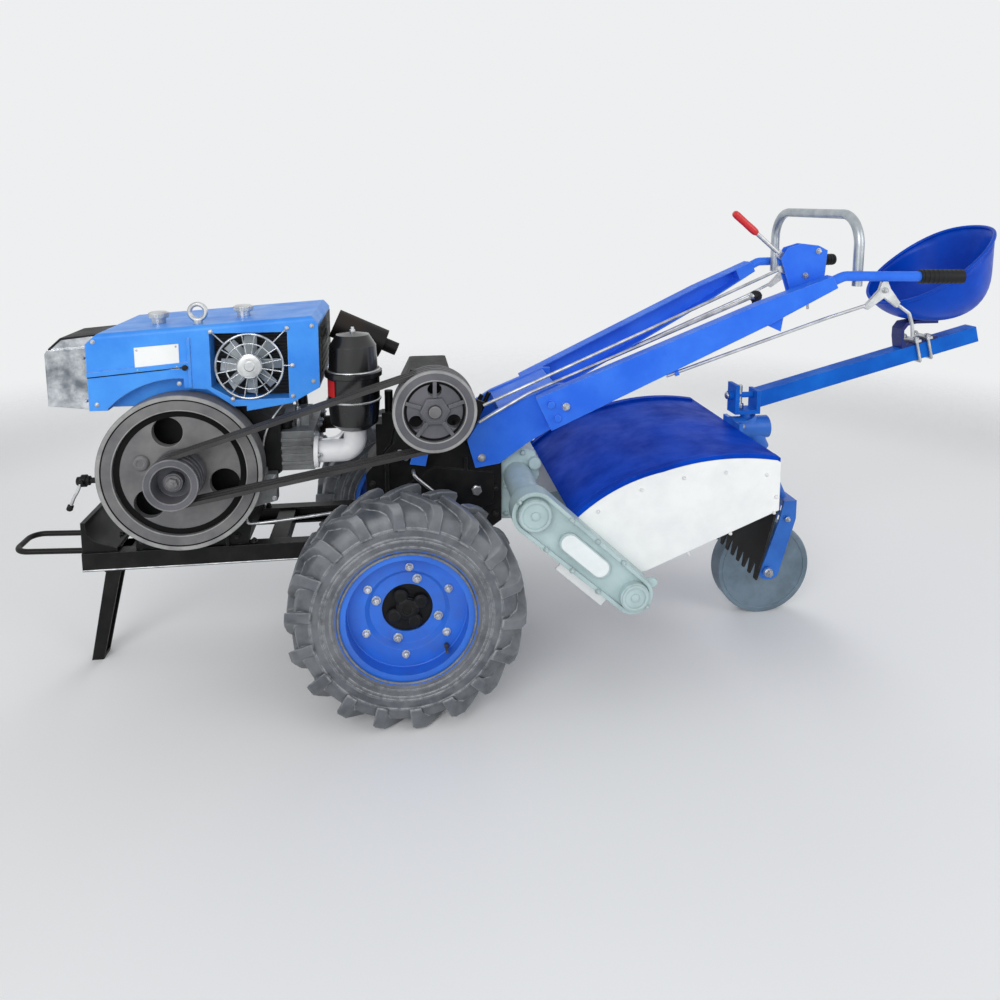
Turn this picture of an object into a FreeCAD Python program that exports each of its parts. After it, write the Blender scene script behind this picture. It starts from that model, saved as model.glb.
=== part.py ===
import FreeCAD, Part
import math
import operator
import os
import Sketcher
from types import SimpleNamespace
from FreeCAD import Placement, Rotation, Vector

# Two-wheel walking tractor with a side-driven rotary tiller, a seat beam and a tail wheel.
# Millimetres. The front looks along -X, the left side along -Y, and the floor is at zero height.
# Places along the machine are measured from the wheel axle, which stands at axleX.

doc = FreeCAD.newDocument("PowerTiller")
sheet = doc.addObject("Spreadsheet::Sheet", "Sizes")

# name, size in millimetres (or degrees, or a count), what it is
sizeTable = [
    ("axleX", -391.14, "axle from the middle of the overall length"),
    ("runningFit", 0.3, "around a shaft in its bore"),
    ("sideGap", 5, "between a turning piece and its neighbour"),
    # wheels and axles
    ("axleHeight", 306, "axle over the floor, the tyre's radius over its lugs"),
    ("track", 788, "between the middles of the two tyres"),
    ("tyreWidth", 124, "between the beads"),
    ("bellyRadius", 226, "widest place of a side wall"),
    ("bellyHalf", 77, "half the tyre's width at its belly"),
    ("treadRadius", 284, "tread between the lugs"),
    ("shoulderRadius", 276, "where side wall and tread meet"),
    ("shoulderHalf", 68, "half the width of the tread"),
    ("beadRadius", 160, "seat of the tyre on the rim"),
    ("flangeRadius", 180, "rim over its flange"),
    ("rimWall", 6, "sheet of the rim"),
    ("lugCount", 18, "lugs on each half of a tyre"),
    ("lugThickness", 25, "a lug along the rolling direction"),
    ("lugLength", 96, "a lug along its own slant"),
    ("lugSlant", 38, "degrees between lug and axle"),
    ("lugFoot", 26, "how deep a lug reaches down the shoulder"),
    ("hubHoleRadius", 65, "opening in the wheel disc"),
    ("stepRadius", 102, "where the disc steps out"),
    ("discOffset", 8, "wheel disc outside the middle of the tyre"),
    ("discStep", 14, "outer ring of the disc over the inner ring"),
    ("hubFlangeRadius", 95, "axle flange"),
    ("hubFlange", 12, "thickness of the axle flange"),
    ("hubRadius", 42, "hub barrel"),
    ("hubLength", 92, "hub barrel"),
    ("axleShaftRadius", 20, "axle shaft"),
    ("axleShaftLength", 118, "axle shaft inside its housing"),
    ("housingRadius", 48, "axle housing at its outer end"),
    ("housingRoot", 66, "axle housing at the gearbox"),
    ("housingFlange", 80, "bolted flange of the axle housing"),
    # gearbox
    ("gearboxHalf", 105, "half the width of the gearbox"),
    ("gearboxFront", 110, "front face before the axle"),
    ("gearboxRear", 285, "rear face behind the axle"),
    ("gearboxBottom", 222, "sump over the floor"),
    ("gearboxShoulder", 600, "top of the rear case"),
    ("gearboxTop", 862, "top of the clutch case"),
    ("clutchCaseRadius", 66, "round case of the clutch"),
    ("clutchShaft", 18, "radius of the clutch shaft"),
    ("ribThickness", 10, "rib of a casting"),
    ("ribHeight", 8, "rib over the face of a casting"),
    # frame
    ("railTop", 385, "top of the frame rails"),
    ("railDepth", 52, "height of a rail"),
    ("railThickness", 6, "wall of a rail"),
    ("railFlange", 38, "width of a rail"),
    ("railOuter", 150, "outside of a rail from the middle"),
    ("railFront", 882, "front end of the rails before the axle"),
    ("crossWidth", 50, "cross member along the frame"),
    ("noseLength", 92, "front bracket along the frame"),
    ("noseHeight", 86, "front bracket over the rails"),
    ("towReach", 214, "tow loop before the rails"),
    ("towHalf", 62, "half the width of the tow loop"),
    ("towRod", 8, "radius of the tow loop's rod"),
    ("towZ", 356, "tow loop over the floor"),
    ("standPivotX", 842, "stand pivot before the axle"),
    ("standPivotZ", 298, "stand pivot over the floor"),
    ("standLean", 66, "foot of the stand before its pivot"),
    ("standHalf", 26, "half the width of the stand leg"),
    ("standDepth", 42, "stand leg from front to rear"),
    ("standWall", 6, "sheet of the stand leg"),
    ("standPin", 8, "radius of the stand pin"),
    # engine
    ("crankX", 593, "crankshaft before the axle"),
    ("crankZ", 624, "crankshaft over the floor"),
    ("crankShaft", 28, "radius of the crankshaft"),
    ("flywheelRadius", 214, "flywheel"),
    ("flywheelFace", 218, "flywheel's outer face from the middle"),
    ("flywheelWidth", 58, "flywheel rim"),
    ("flywheelWeb", 22, "flywheel web"),
    ("flywheelRim", 42, "flywheel rim between its edge and its ring groove"),
    ("flywheelBoss", 60, "radius of the flywheel's boss"),
    ("flywheelHole", 40, "radius of the three holes"),
    ("flywheelHoleCircle", 117, "circle of the three holes"),
    ("beltCount", 3, "belts"),
    ("beltPitch", 20, "between two belts"),
    ("beltWidth", 13, "a belt"),
    ("beltHeight", 10, "a belt"),
    ("beltGap", 0.3, "between belt and groove"),
    ("beltFirst", 34, "innermost belt outside the flywheel's face"),
    ("pulleyLip", 8, "pulley outside its last belt"),
    ("drivePulleyRadius", 69, "engine pulley"),
    ("drivePulleyMouth", 49, "open mouth of the engine pulley"),
    ("drivePulleyDepth", 44, "depth of the engine pulley's mouth"),
    ("clutchX", 82, "clutch shaft behind the axle"),
    ("clutchZ", 792, "clutch shaft over the floor"),
    ("clutchPulleyRadius", 112, "clutch pulley"),
    ("clutchPulleyRim", 30, "flat ring on the clutch pulley's face"),
    ("clutchPulleyHub", 34, "hub of the clutch pulley"),
    ("clutchWindow", 19, "radius of a window between the arms"),
    ("clutchWindowCircle", 58, "circle of the windows"),
    ("engineHalf", 140, "half the width of the engine"),
    ("engineFront", 742, "front of the crankcase before the axle"),
    ("engineTop", 795, "top of the crankcase"),
    ("cylinderFront", 440, "front end of the cylinder block"),
    ("cylinderBottom", 540, "underside of the cylinder block"),
    ("cylinderTop", 724, "top of the cylinder block at the head"),
    ("headFront", 340, "front end of the cylinder head"),
    ("headRear", 250, "rear face of the cylinder head"),
    ("headBottom", 592, "lower end of the cylinder head"),
    ("headTop", 704, "top of the cylinder head"),
    ("timingCover", 22, "thickness of the cover on the right side"),
    ("startBoss", 30, "radius of the starting shaft's boss"),
    ("headInset", 6, "cylinder head inside the crankcase's width"),
    # hood and radiator
    ("hoodHalf", 186, "half the width of the hood"),
    ("hoodFront", 820, "front of the hood before the axle"),
    ("hoodRear", 224, "rear of the hood before the axle"),
    ("hoodFrontTop", 998, "top of the hood at its front"),
    ("hoodRearTop", 1036, "top of the hood at its rear"),
    ("hoodRearBottom", 840, "lower end of the rear face"),
    ("hoodRound", 14, "rounding of the hood's long edges"),
    ("hoodBead", 4, "height of the pressed bead"),
    ("skirtDepth", 40, "thickness of the hood's skirts beside the engine"),
    ("archRadius", 252, "opening of the hood over the flywheel"),
    ("archRear", 578, "rear end of the arch before the axle"),
    ("fanX", 407, "fan shaft before the axle"),
    ("fanZ", 904, "fan shaft over the floor"),
    ("fanOpening", 202, "radiator opening along the machine"),
    ("fanOpeningHeight", 182, "radiator opening"),
    ("fanOpeningCorner", 60, "cut corner of the radiator opening"),
    ("fanDepth", 60, "radiator core inside the hood's side"),
    ("fanRadius", 80, "tips of the fan blades"),
    ("fanHubRadius", 32, "fan hub"),
    ("fanHubLength", 34, "fan hub"),
    ("fanShaft", 10, "radius of the fan shaft"),
    ("fanBlades", 8, "blades of the fan"),
    ("bladeWidth", 36, "a fan blade"),
    ("bladePitch", 38, "degrees that a blade is turned"),
    ("sheet", 4, "common sheet thickness"),
    ("guardRadius", 90, "ring of the fan guard"),
    ("guardRod", 4, "wire of the fan guard"),
    ("capRadius", 26, "filler caps"),
    ("capHeight", 16, "filler caps"),
    ("capY", 60, "filler caps from the middle"),
    ("fuelCapX", 668, "fuel cap before the axle"),
    ("radiatorCapX", 440, "radiator cap before the axle"),
    ("eyeX", 545, "lifting eye before the axle"),
    ("eyeY", 138, "lifting eye from the middle"),
    ("eyeRadius", 27, "lifting eye, outside"),
    ("eyeWire", 12, "thickness of the lifting eye"),
    # head lamp
    ("lampFront", 962, "front of the head lamp before the axle"),
    ("lampRear", 850, "rear of the head lamp before the axle"),
    ("lampBottom", 774, "underside of the head lamp"),
    ("lampTop", 946, "top of the head lamp"),
    ("lampHalf", 88, "half the width of the head lamp"),
    ("lampBezel", 14, "frame around the glass"),
    ("lampGlass", 6, "glass inside its frame"),
    # air filter and exhaust
    ("filterX", 137, "air filter before the axle"),
    ("filterY", 120, "air filter from the middle"),
    ("filterRadius", 74, "air filter body"),
    ("filterBottom", 706, "lower end of the air filter"),
    ("filterTop", 982, "top of the air filter"),
    ("elbowRadius", 32, "intake elbow"),
    ("elbowFlange", 46, "radius of the intake elbow's flange"),
    ("elbowZ", 640, "middle of the intake elbow"),
    ("pipeFlange", 12, "thickness of the pipe flanges"),
    ("exhaustY", 78, "exhaust from the middle"),
    ("exhaustZ", 668, "exhaust port over the floor"),
    ("exhaustPipe", 20, "radius of the exhaust pipe"),
    ("mufflerRadius", 44, "muffler"),
    ("mufflerX", 200, "front end of the muffler before the axle"),
    ("mufflerZ", 976, "front end of the muffler over the floor"),
    ("mufflerLength", 160, "muffler"),
    ("mufflerFall", 25, "degrees that the muffler falls to the rear"),
    # handles
    ("baseFront", 178, "handle base behind the axle"),
    ("baseLength", 292, "handle base"),
    ("baseBottom", 570, "lower end of the handle base"),
    ("baseHeight", 242, "handle base"),
    ("handleFrontX", 402, "front end of a handlebar"),
    ("handleFrontY", 150, "front end of a handlebar from the middle"),
    ("handleFrontZ", 735, "front end of a handlebar over the floor"),
    ("handleRearX", 1205, "rear end of the pressed bar"),
    ("handleRearY", 262, "rear end of the pressed bar from the middle"),
    ("handleRearZ", 1116, "rear end of the pressed bar over the floor"),
    ("handleDepthFront", 104, "pressed bar at its front"),
    ("handleDepthKnee", 66, "pressed bar at its knee"),
    ("handleDepthRear", 36, "pressed bar at its rear"),
    ("handleKnee", 0.76, "knee of the pressed bar as a share of its length"),
    ("handleWidth", 46, "pressed bar"),
    ("handleWall", 4, "sheet of the pressed bar"),
    ("handleClear", 3.5, "between the pressed bar's front end and the base plate"),
    ("handleTube", 14, "radius of the handle tube"),
    ("handleTubeZ", 1131, "middle of the handle tube over the floor"),
    ("gripEnd", 1548, "rear end of a grip"),
    ("gripSpread", 328, "grip from the middle"),
    ("gripLength", 112, "a grip"),
    ("gripRadius", 19.5, "a grip"),
    ("hoopX", 1288, "hoop behind the axle"),
    ("hoopBottom", 1100, "lower ends of the hoop"),
    ("hoopTop", 1302, "middle of the hoop's top tube"),
    ("hoopTube", 14, "radius of the hoop tube"),
    ("hoopBend", 88, "bend of the hoop"),
    # controls
    ("quadrantX", 1077, "front corner of the quadrant"),
    ("quadrantZ", 1076, "lower corner of the quadrant"),
    ("quadrantLength", 140, "quadrant"),
    ("quadrantHeight", 144, "quadrant"),
    ("quadrantY", 208, "quadrant from the middle"),
    ("quadrantGap", 22, "between the quadrant's two plates"),
    ("leverPivotX", 1152, "pivot of the clutch lever"),
    ("leverPivotZ", 1128, "pivot of the clutch lever"),
    ("leverTipX", 937, "end of the clutch lever's grip"),
    ("leverTipZ", 1308, "end of the clutch lever's grip"),
    ("leverRod", 6, "radius of the clutch lever"),
    ("leverGrip", 11, "radius of the clutch lever's grip"),
    ("leverGripLength", 92, "grip of the clutch lever"),
    ("controlRod", 4.5, "radius of the control rods"),
    ("clutchRodX", 229, "front end of the clutch rod behind the axle"),
    ("clutchRodZ", 759, "front end of the clutch rod over the floor"),
    ("gearRodX", 216, "front end of the gear rod behind the axle"),
    ("gearRodZ", 710, "front end of the gear rod over the floor"),
    ("gearBendX", 360, "bend of the gear rod behind the axle"),
    ("gearBendZ", 790, "bend of the gear rod over the floor"),
    ("knobX", 1034, "knob of the gear rod behind the axle"),
    ("knobZ", 1062, "knob of the gear rod over the floor"),
    ("steerX", 1345, "pivot of a steering lever"),
    ("steerZ", 1088, "pivot of a steering lever over the floor"),
    ("steerLength", 96, "cast arm of a steering lever"),
    ("steerDrop", 42, "cast arm of a steering lever under its pivot"),
    ("steerThickness", 12, "cast arm of a steering lever"),
    ("steerRod", 5, "radius of a steering lever's bent rod"),
    # seat
    ("beamFrontX", 1122, "front end of the seat beam"),
    ("beamFrontZ", 718, "front end of the seat beam"),
    ("beamOverhang", 214, "seat beam behind its first clamp"),
    ("beamRise", 14.6, "degrees that the seat beam rises"),
    ("beamSide", 50, "seat beam"),
    ("beamWall", 4, "wall of the seat beam"),
    ("seatX", 1676, "middle of the seat"),
    ("seatRadius", 214, "rim of the seat pan"),
    ("seatHeight", 322, "seat pan"),
    ("seatFrontHeight", 56, "front lip of the seat pan over its underside"),
    ("seatRake", 47, "degrees of the seat pan's cut sides"),
    ("seatWall", 5, "sheet of the seat pan"),
    ("springHeight", 89.4695, "seat spring, from the beam to the underside of the pan"),
    ("springReach", 84, "how far the seat spring curls to the front"),
    ("springWidth", 50, "seat spring"),
    ("springThickness", 9, "seat spring"),
    ("clampBack", 23.6954, "first clamp before the middle of the seat"),
    ("clampPitch", 40, "between the two clamps"),
    ("clampRod", 5, "radius of a clamp rod"),
    # rotary tiller
    ("tillerHalf", 328, "side plates of the tiller from the middle"),
    ("tubeX", 334, "cross tube behind the axle"),
    ("tubeZ", 531, "cross tube over the floor"),
    ("tubeRadius", 42, "cross tube"),
    ("inputHalf", 92, "half the width of the input case"),
    ("inputLength", 116, "input case behind the gearbox"),
    ("inputBottom", 398, "lower end of the input case"),
    ("inputHeight", 220, "input case"),
    ("rotorX", 606, "rotor shaft behind the axle"),
    ("rotorZ", 287, "rotor shaft over the floor"),
    ("rotorRadius", 30, "rotor tube"),
    ("rotorStub", 18, "rotor journal"),
    ("holderReach", 78, "tips of the tine holders from the rotor axis"),
    ("holderCount", 16, "tine holders"),
    ("holderLength", 34, "tine holder around the rotor"),
    ("holderWidth", 26, "tine holder along the rotor"),
    ("holderTurn", 157.5, "degrees from one tine holder to the next"),
    ("armThickness", 60, "side gear case"),
    ("armRecess", 9, "field of the side gear case under its rim"),
    ("armRim", 11, "rim of the side gear case"),
    ("armCap", 13, "bearing caps over the side gear case"),
    ("armUpperRadius", 60, "side gear case at its upper boss"),
    ("armLowerRadius", 54, "side gear case at its lower boss"),
    ("armUpperCap", 44, "upper bearing cap"),
    ("armLowerCap", 40, "lower bearing cap"),
    ("armPad", 27, "half the width of the raised pad"),
    ("bearingArm", 18, "thickness of the bearing arm"),
    ("coverSheet", 4, "sheet of the tiller cover"),
    ("coverFrontX", 452, "front edge of the tiller cover"),
    ("coverFrontZ", 486, "front edge of the tiller cover"),
    ("coverLength", 589, "tiller cover along the machine"),
    ("coverRise", 155, "top of the tiller cover over its front edge"),
    ("coverBead", 26, "rolled band along the cover's edges"),
    ("coverBeadHeight", 8, "rolled band over the cover"),
    ("coverBeam", 44, "beam under the rear edge of the cover"),
    ("panelRearHeight", 148, "side plate at its rear edge"),
    ("combHalf", 318, "half the width of the comb plate"),
    ("combDrop", 338, "comb plate from its hinge to its tips"),
    ("combLean", 53, "tips of the comb plate before its bend"),
    ("combThickness", 5, "comb plate"),
    ("combTeeth", 17, "teeth of the comb plate"),
    ("combTooth", 36, "height of a tooth"),
    # tail wheel
    ("tailX", 1157, "tail wheel behind the axle"),
    ("tailRadius", 155, "tail wheel"),
    ("tailHalf", 30, "half the width of the tail wheel"),
    ("tailAxle", 10, "radius of the tail wheel axle"),
    ("forkGap", 16, "between tail wheel and fork"),
    ("forkPlate", 8, "plate of the fork"),
    ("forkTop", 388, "crown of the fork over the floor"),
    ("forkWidth", 42, "plate of the fork from front to rear"),
    ("stemTopX", 1083, "top of the tail stem"),
    ("stemTopZ", 672, "top of the tail stem"),
    ("stemRadius", 16, "tail stem"),
    ("sleeveRadius", 29, "sleeve around the tail stem"),
    ("sleeveLow", 552, "lower end of the sleeve"),
    ("barrelRadius", 36, "cast barrel of the sleeve"),
    ("barrelLength", 119, "pin barrel behind the comb plate"),
    ("barrelZ", 622, "cast barrel of the sleeve over the floor"),
    ("clevisWidth", 62, "hitch clevis"),
    ("clevisPlate", 12, "plates of the hitch clevis"),
    ("clevisHeight", 94, "front plate of the hitch clevis"),
]

for row, (name, value, note) in enumerate(sizeTable, 1):
    sheet.set(f"A{row}", note)
    sheet.set(f"B{row}", str(value))
    sheet.setAlias(f"B{row}", name)
doc.recompute()


class Dim:
    # a number together with the sheet expression that gives it
    def __init__(self, number, text):
        self.number = number
        self.text = text

    def __add__(self, other):
        return combined(self, "+", other)

    def __radd__(self, other):
        return combined(other, "+", self)

    def __sub__(self, other):
        return combined(self, "-", other)

    def __rsub__(self, other):
        return combined(other, "-", self)

    def __mul__(self, other):
        return combined(self, "*", other)

    def __rmul__(self, other):
        return combined(other, "*", self)

    def __truediv__(self, other):
        return combined(self, "/", other)

    def __neg__(self):
        return combined(0, "-", self)


signs = {"+": operator.add, "-": operator.sub, "*": operator.mul, "/": operator.truediv}


def number(value):
    return value.number if isinstance(value, Dim) else value


def text(value):
    return value.text if isinstance(value, Dim) else f"({value})"


def combined(left, sign, right):
    return Dim(signs[sign](number(left), number(right)), f"({text(left)} {sign} {text(right)})")


def turned(function, angle):
    # sine or cosine of an angle in degrees
    worked = {"sin": math.sin, "cos": math.cos}[function](math.radians(number(angle)))
    return Dim(worked, f"{function}({text(angle)})")


# every size by its name, and the list of finished pieces
size = SimpleNamespace(**{name: Dim(value, f"Sizes.{name}") for name, value, note in sizeTable})
nodes = []


def bind(thing, prop, value):
    thing.setExpression(prop, text(value))


def place(thing, x, y, z):
    # x is measured from the wheel axle
    for letter, value in zip("xyz", (size.axleX + x, y, z)):
        bind(thing, f"Placement.Base.{letter}", value)
    return thing


def node(thing, label):
    thing.Label = label
    nodes.append(thing)
    return thing


# solids from primitives

axisTurn = {
    "X": Rotation(Vector(0, 1, 0), 90),
    "Y": Rotation(Vector(1, 0, 0), -90),
    "Z": Rotation(),
}


def box(name, xs, ys, zs):
    thing = doc.addObject("Part::Box", name)
    for prop, (low, high) in zip(("Length", "Width", "Height"), (xs, ys, zs)):
        bind(thing, prop, high - low)
    return place(thing, xs[0], ys[0], zs[0])


def cylinder(name, axis, start, radius, length):
    thing = doc.addObject("Part::Cylinder", name)
    thing.Placement = Placement(Vector(), axisTurn[axis])
    bind(thing, "Radius", radius)
    bind(thing, "Height", length)
    return place(thing, *start)


def fuse(name, things):
    thing = doc.addObject("Part::MultiFuse", name)
    thing.Shapes = things
    return thing


def cut(name, base, tools):
    thing = doc.addObject("Part::Cut", name)
    thing.Base = base
    thing.Tool = tools[0] if len(tools) == 1 else fuse(name + "Tools", tools)
    return thing


def rounded(name, base, radius, chosen):
    # chosen tells from an edge's middle, in places from the wheel axle, whether it is rounded
    doc.recompute()
    thing = doc.addObject("Part::Fillet", name)
    thing.Base = base
    shift = Vector(number(size.axleX), 0, 0)
    thing.Edges = [(index, number(radius), number(radius))
                   for index, edge in enumerate(base.Shape.Edges, 1)
                   if chosen(edge.BoundBox.Center - shift, edge.BoundBox)]
    return thing


def across(side, near, far):
    # from the nearer to the farther place on one side, lower place first
    return (-far, -near) if side < 0 else (near, far)


# solids from sketched outlines

def attachedSketch(body, name, role):
    sketch = body.newObject("Sketcher::SketchObject", name)
    plane = [item for item in body.Origin.OriginFeatures if item.Role == role][0]
    sketch.AttachmentSupport = [(plane, "")]
    sketch.MapMode = "FlatFace"
    return sketch


def arcBetween(start, end, radius):
    # the short arc; it turns left for a positive radius and right for a negative one
    chord = end - start
    half = chord.Length / 2
    left = Vector(-chord.y, chord.x, 0).normalize()
    rise = math.sqrt(radius * radius - half * half)
    centre = (start + end) * 0.5 + left * math.copysign(rise, radius)
    first, last = (start, end) if radius > 0 else (end, start)
    angles = [math.atan2(spot.y - centre.y, spot.x - centre.x) for spot in (first, last)]
    circle = Part.Circle(centre, Vector(0, 0, 1), abs(radius))
    return Part.ArcOfCircle(circle, angles[0], angles[1] + (2 * math.pi if angles[1] < angles[0] else 0))


def drawOutline(sketch, corners):
    # a corner is (across, up) or (across, up, radius of the arc to the next corner)
    count = len(corners)
    starts = []
    ends = []
    for index, corner in enumerate(corners):
        after = corners[(index + 1) % count]
        here = Vector(number(corner[0]), number(corner[1]), 0)
        there = Vector(number(after[0]), number(after[1]), 0)
        if len(corner) == 3:
            sketch.addGeometry(arcBetween(here, there, number(corner[2])), False)
            backward = number(corner[2]) < 0
        else:
            sketch.addGeometry(Part.LineSegment(here, there), False)
            backward = False
        starts.append(2 if backward else 1)
        ends.append(1 if backward else 2)
    for index, corner in enumerate(corners):
        following = (index + 1) % count
        sketch.addConstraint(Sketcher.Constraint("Coincident", index, ends[index], following, starts[following]))
        for kind, value in (("DistanceX", corner[0]), ("DistanceY", corner[1])):
            at = sketch.addConstraint(Sketcher.Constraint(kind, -1, 1, index, starts[index], number(value)))
            if isinstance(value, Dim):
                sketch.setExpression(f"Constraints[{at}]", value.text)
        if len(corner) == 3:
            radius = abs(number(corner[2]))
            at = sketch.addConstraint(Sketcher.Constraint("Radius", index, radius))
            if isinstance(corner[2], Dim):
                sketch.setExpression(f"Constraints[{at}]", f"abs({corner[2].text})")


def padded(name, role, corners, depth, reverse=False):
    body = doc.addObject("PartDesign::Body", name)
    sketch = attachedSketch(body, name + "Sketch", role)
    drawOutline(sketch, corners)
    pad = body.newObject("PartDesign::Pad", name + "Pad")
    pad.Profile = sketch
    bind(pad, "Length", depth)
    body.Tip = pad
    return body


def sideOutline(name, corners, ys):
    # an outline seen from the left side, thick from the first to the second place in Y
    return place(padded(name, "XZ_Plane", corners, ys[1] - ys[0]), 0, ys[1], 0)


def spread(left, low, length, height, shares):
    # corners given as shares of a length and a height; a third share is an arc's radius
    corners = []
    for share, rise, *arc in shares:
        corners.append((left + length * share, low + height * rise, *[length * radius for radius in arc]))
    return corners


def turning(name, axis, corners, centre):
    # corners are (along the axis, radius) for X and Y, and (radius, height) for Z
    body = doc.addObject("PartDesign::Body", name)
    role = {"X": "XZ_Plane", "Y": "YZ_Plane", "Z": "XZ_Plane"}[axis]
    sketch = attachedSketch(body, name + "Sketch", role)
    drawOutline(sketch, corners)
    revolution = body.newObject("PartDesign::Revolution", name + "Turn")
    revolution.Profile = sketch
    revolution.ReferenceAxis = (sketch, ["V_Axis" if axis == "Z" else "H_Axis"])
    revolution.Angle = 360
    body.Tip = revolution
    return place(body, *centre)


# free shapes: rods bent in space, slanting bars and straps round two centres

def point(x, y, z):
    return Vector(number(size.axleX) + number(x), number(y), number(z))


def feature(name, shape):
    thing = doc.addObject("Part::Feature", name)
    thing.Shape = shape
    return thing


def rodShape(points, radius, bend=0):
    edges = []
    last = points[0]
    bend = number(bend)
    for index in range(1, len(points) - 1):
        corner = points[index]
        before = (points[index - 1] - corner).normalize()
        after = (points[index + 1] - corner).normalize()
        half = before.getAngle(after) / 2
        back = bend / math.tan(half)
        first = corner + before * back
        final = corner + after * back
        middle = corner + (before + after).normalize() * (bend / math.sin(half) - bend)
        edges.append(Part.LineSegment(last, first).toShape())
        edges.append(Part.Arc(first, middle, final).toShape())
        last = final
    edges.append(Part.LineSegment(last, points[-1]).toShape())
    path = Part.Wire(edges)
    direction = points[1] - points[0]
    ring = Part.Wire([Part.Circle(points[0], direction, number(radius)).toShape()])
    return path.makePipeShell([ring], True, False)


def straightRod(start, end, radius):
    return Part.makeCylinder(number(radius), (end - start).Length, start, end - start)


def frameAlong(start, end):
    # the bar's direction, the level direction across it, and the one above both
    along = (end - start).normalize()
    side = along.cross(Vector(0, 0, 1)).normalize()
    return along, side, side.cross(along).normalize()


def barShape(stations, side, top):
    # stations are (middle, width, depth); the bar's faces are ruled between them
    wires = []
    for middle, width, depth in stations:
        corners = [middle + side * (width / 2 * a) + top * (depth / 2 * b)
                   for a, b in ((-1, -1), (1, -1), (1, 1), (-1, 1))]
        wires.append(Part.makePolygon(corners + corners[:1]))
    return Part.makeLoft(wires, True, True)


def strapFace(first, firstRadius, last, lastRadius):
    # the flat face round two circles that lie in one plane across Y
    along = last - first
    tilt = math.atan2(along.z, along.x)
    lean = math.acos((firstRadius - lastRadius) / along.Length)
    touch = []
    for sign in (1, -1):
        ray = Vector(math.cos(tilt + sign * lean), 0, math.sin(tilt + sign * lean))
        touch.append((first + ray * firstRadius, last + ray * lastRadius))
    outward = Vector(math.cos(tilt), 0, math.sin(tilt))
    return Part.Face(Part.Wire([
        Part.LineSegment(touch[0][0], touch[0][1]).toShape(),
        Part.Arc(touch[0][1], last + outward * lastRadius, touch[1][1]).toShape(),
        Part.LineSegment(touch[1][1], touch[1][0]).toShape(),
        Part.Arc(touch[1][0], first - outward * firstRadius, touch[0][0]).toShape(),
    ]))


def strap(first, firstRadius, last, lastRadius, ys):
    # a solid round two circles, from the first to the second place in Y
    low, high = [number(y) for y in ys]
    spots = [Vector(spot.x, low, spot.z) for spot in (first, last)]
    return strapFace(spots[0], number(firstRadius), spots[1], number(lastRadius)).extrude(Vector(0, high - low, 0))


# frame

def rails():
    bottom = size.railTop - size.railDepth
    rear = -size.gearboxFront
    bars = []
    for side in (-1, 1):
        solid = box("railSolid", (-size.railFront, rear), across(side, size.railOuter - size.railFlange, size.railOuter),
                    (bottom, size.railTop))
        inside = box("railHollow", (-size.railFront - 1, rear + 1),
                     across(side, size.railOuter - size.railFlange - 1, size.railOuter - size.railThickness),
                     (bottom + size.railThickness, size.railTop - size.railThickness))
        bars.append(cut("rail", solid, [inside]))
    width = size.railOuter - size.railThickness
    engineRear = -size.cylinderFront + size.crossWidth
    for x in (-size.railFront, -size.engineFront - size.crossWidth / 2, engineRear, rear - size.crossWidth):
        bars.append(box("crossMember", (x, x + size.crossWidth), (-width, width),
                        (bottom + size.railThickness, size.railTop - size.railThickness)))
    node(fuse("frameRails", bars), "frame_rails")


def nose():
    # the bracket at the front end of the rails, and the loop for towing in front of it
    half = size.railOuter - size.railThickness
    shares = [(0, 0), (1, 0), (1, 0.12), (0.5, 0.3, -0.6), (0.14, 1), (0, 1)]
    bracket = sideOutline("noseBracket", spread(-size.railFront, size.railTop, size.noseLength, size.noseHeight,
                                                shares), (-half, half))
    node(bracket, "nose_plate")
    front = -size.railFront
    tip = front - size.towReach
    points = [point(front, -size.towHalf, size.towZ), point(tip, -size.towHalf, size.towZ + size.towRod),
              point(tip, size.towHalf, size.towZ + size.towRod), point(front, size.towHalf, size.towZ)]
    loop = rodShape(points, size.towRod, size.towHalf * 0.6)
    keep = Part.makeBox(number(size.towReach) * 2, 400, 400, point(front - size.towReach * 2, -200, 200))
    node(feature("towLoop", loop.common(keep)), "tow_loop")


def stand():
    # a folded leg of sheet on a pin under the front cross member
    x = -size.standPivotX
    z = size.standPivotZ
    wall = size.standWall
    # the leg leans to the front, so its lower end is shifted
    foot = x - size.standLean
    half = size.standDepth / 2
    outline = [
        (foot - half * 0.8, 0),
        (foot + half * 0.8, 0),
        (x + half, z),
        (x + half * 0.6, z + half * 0.8),
        (x - half * 0.6, z + half * 0.8),
        (x - half, z),
    ]
    leg = sideOutline("standLeg", outline, (-size.standHalf, size.standHalf))
    channel = sideOutline("standChannel", [
        (foot - half * 0.8 + wall, wall * 2),
        (foot + half * 3, wall * 2),
        (x + half * 3, z + half),
        (x - half + wall * 1.5, z + half),
        (x - half + wall, z),
    ], (-size.standHalf + wall, size.standHalf - wall))
    bore = cylinder("standBore", "Y", (x, -size.standHalf - 1, z), size.standPin + size.runningFit,
                    2 * size.standHalf + 2)
    node(cut("frontStand", leg, [channel, bore]), "front_stand")
    bottom = size.railTop - size.railDepth
    things = []
    reach = size.standHalf + size.sideGap
    for side in (-1, 1):
        things.append(sideOutline("standCheek", [
            (x - half * 1.2, z - half),
            (x + half * 1.2, z - half),
            (x + half * 1.6, bottom),
            (x - half * 1.6, bottom),
        ], across(side, reach, reach + wall)))
    things.append(box("standPlate", (x - half * 1.8, x + half * 2.2), (-reach - wall * 3, reach + wall * 3),
                      (bottom, bottom + size.railThickness)))
    things.append(cylinder("standPinBar", "Y", (x, -reach - wall * 2, z), size.standPin, (reach + wall * 2) * 2))
    node(fuse("standBracket", things), "stand_bracket")


# engine

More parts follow.
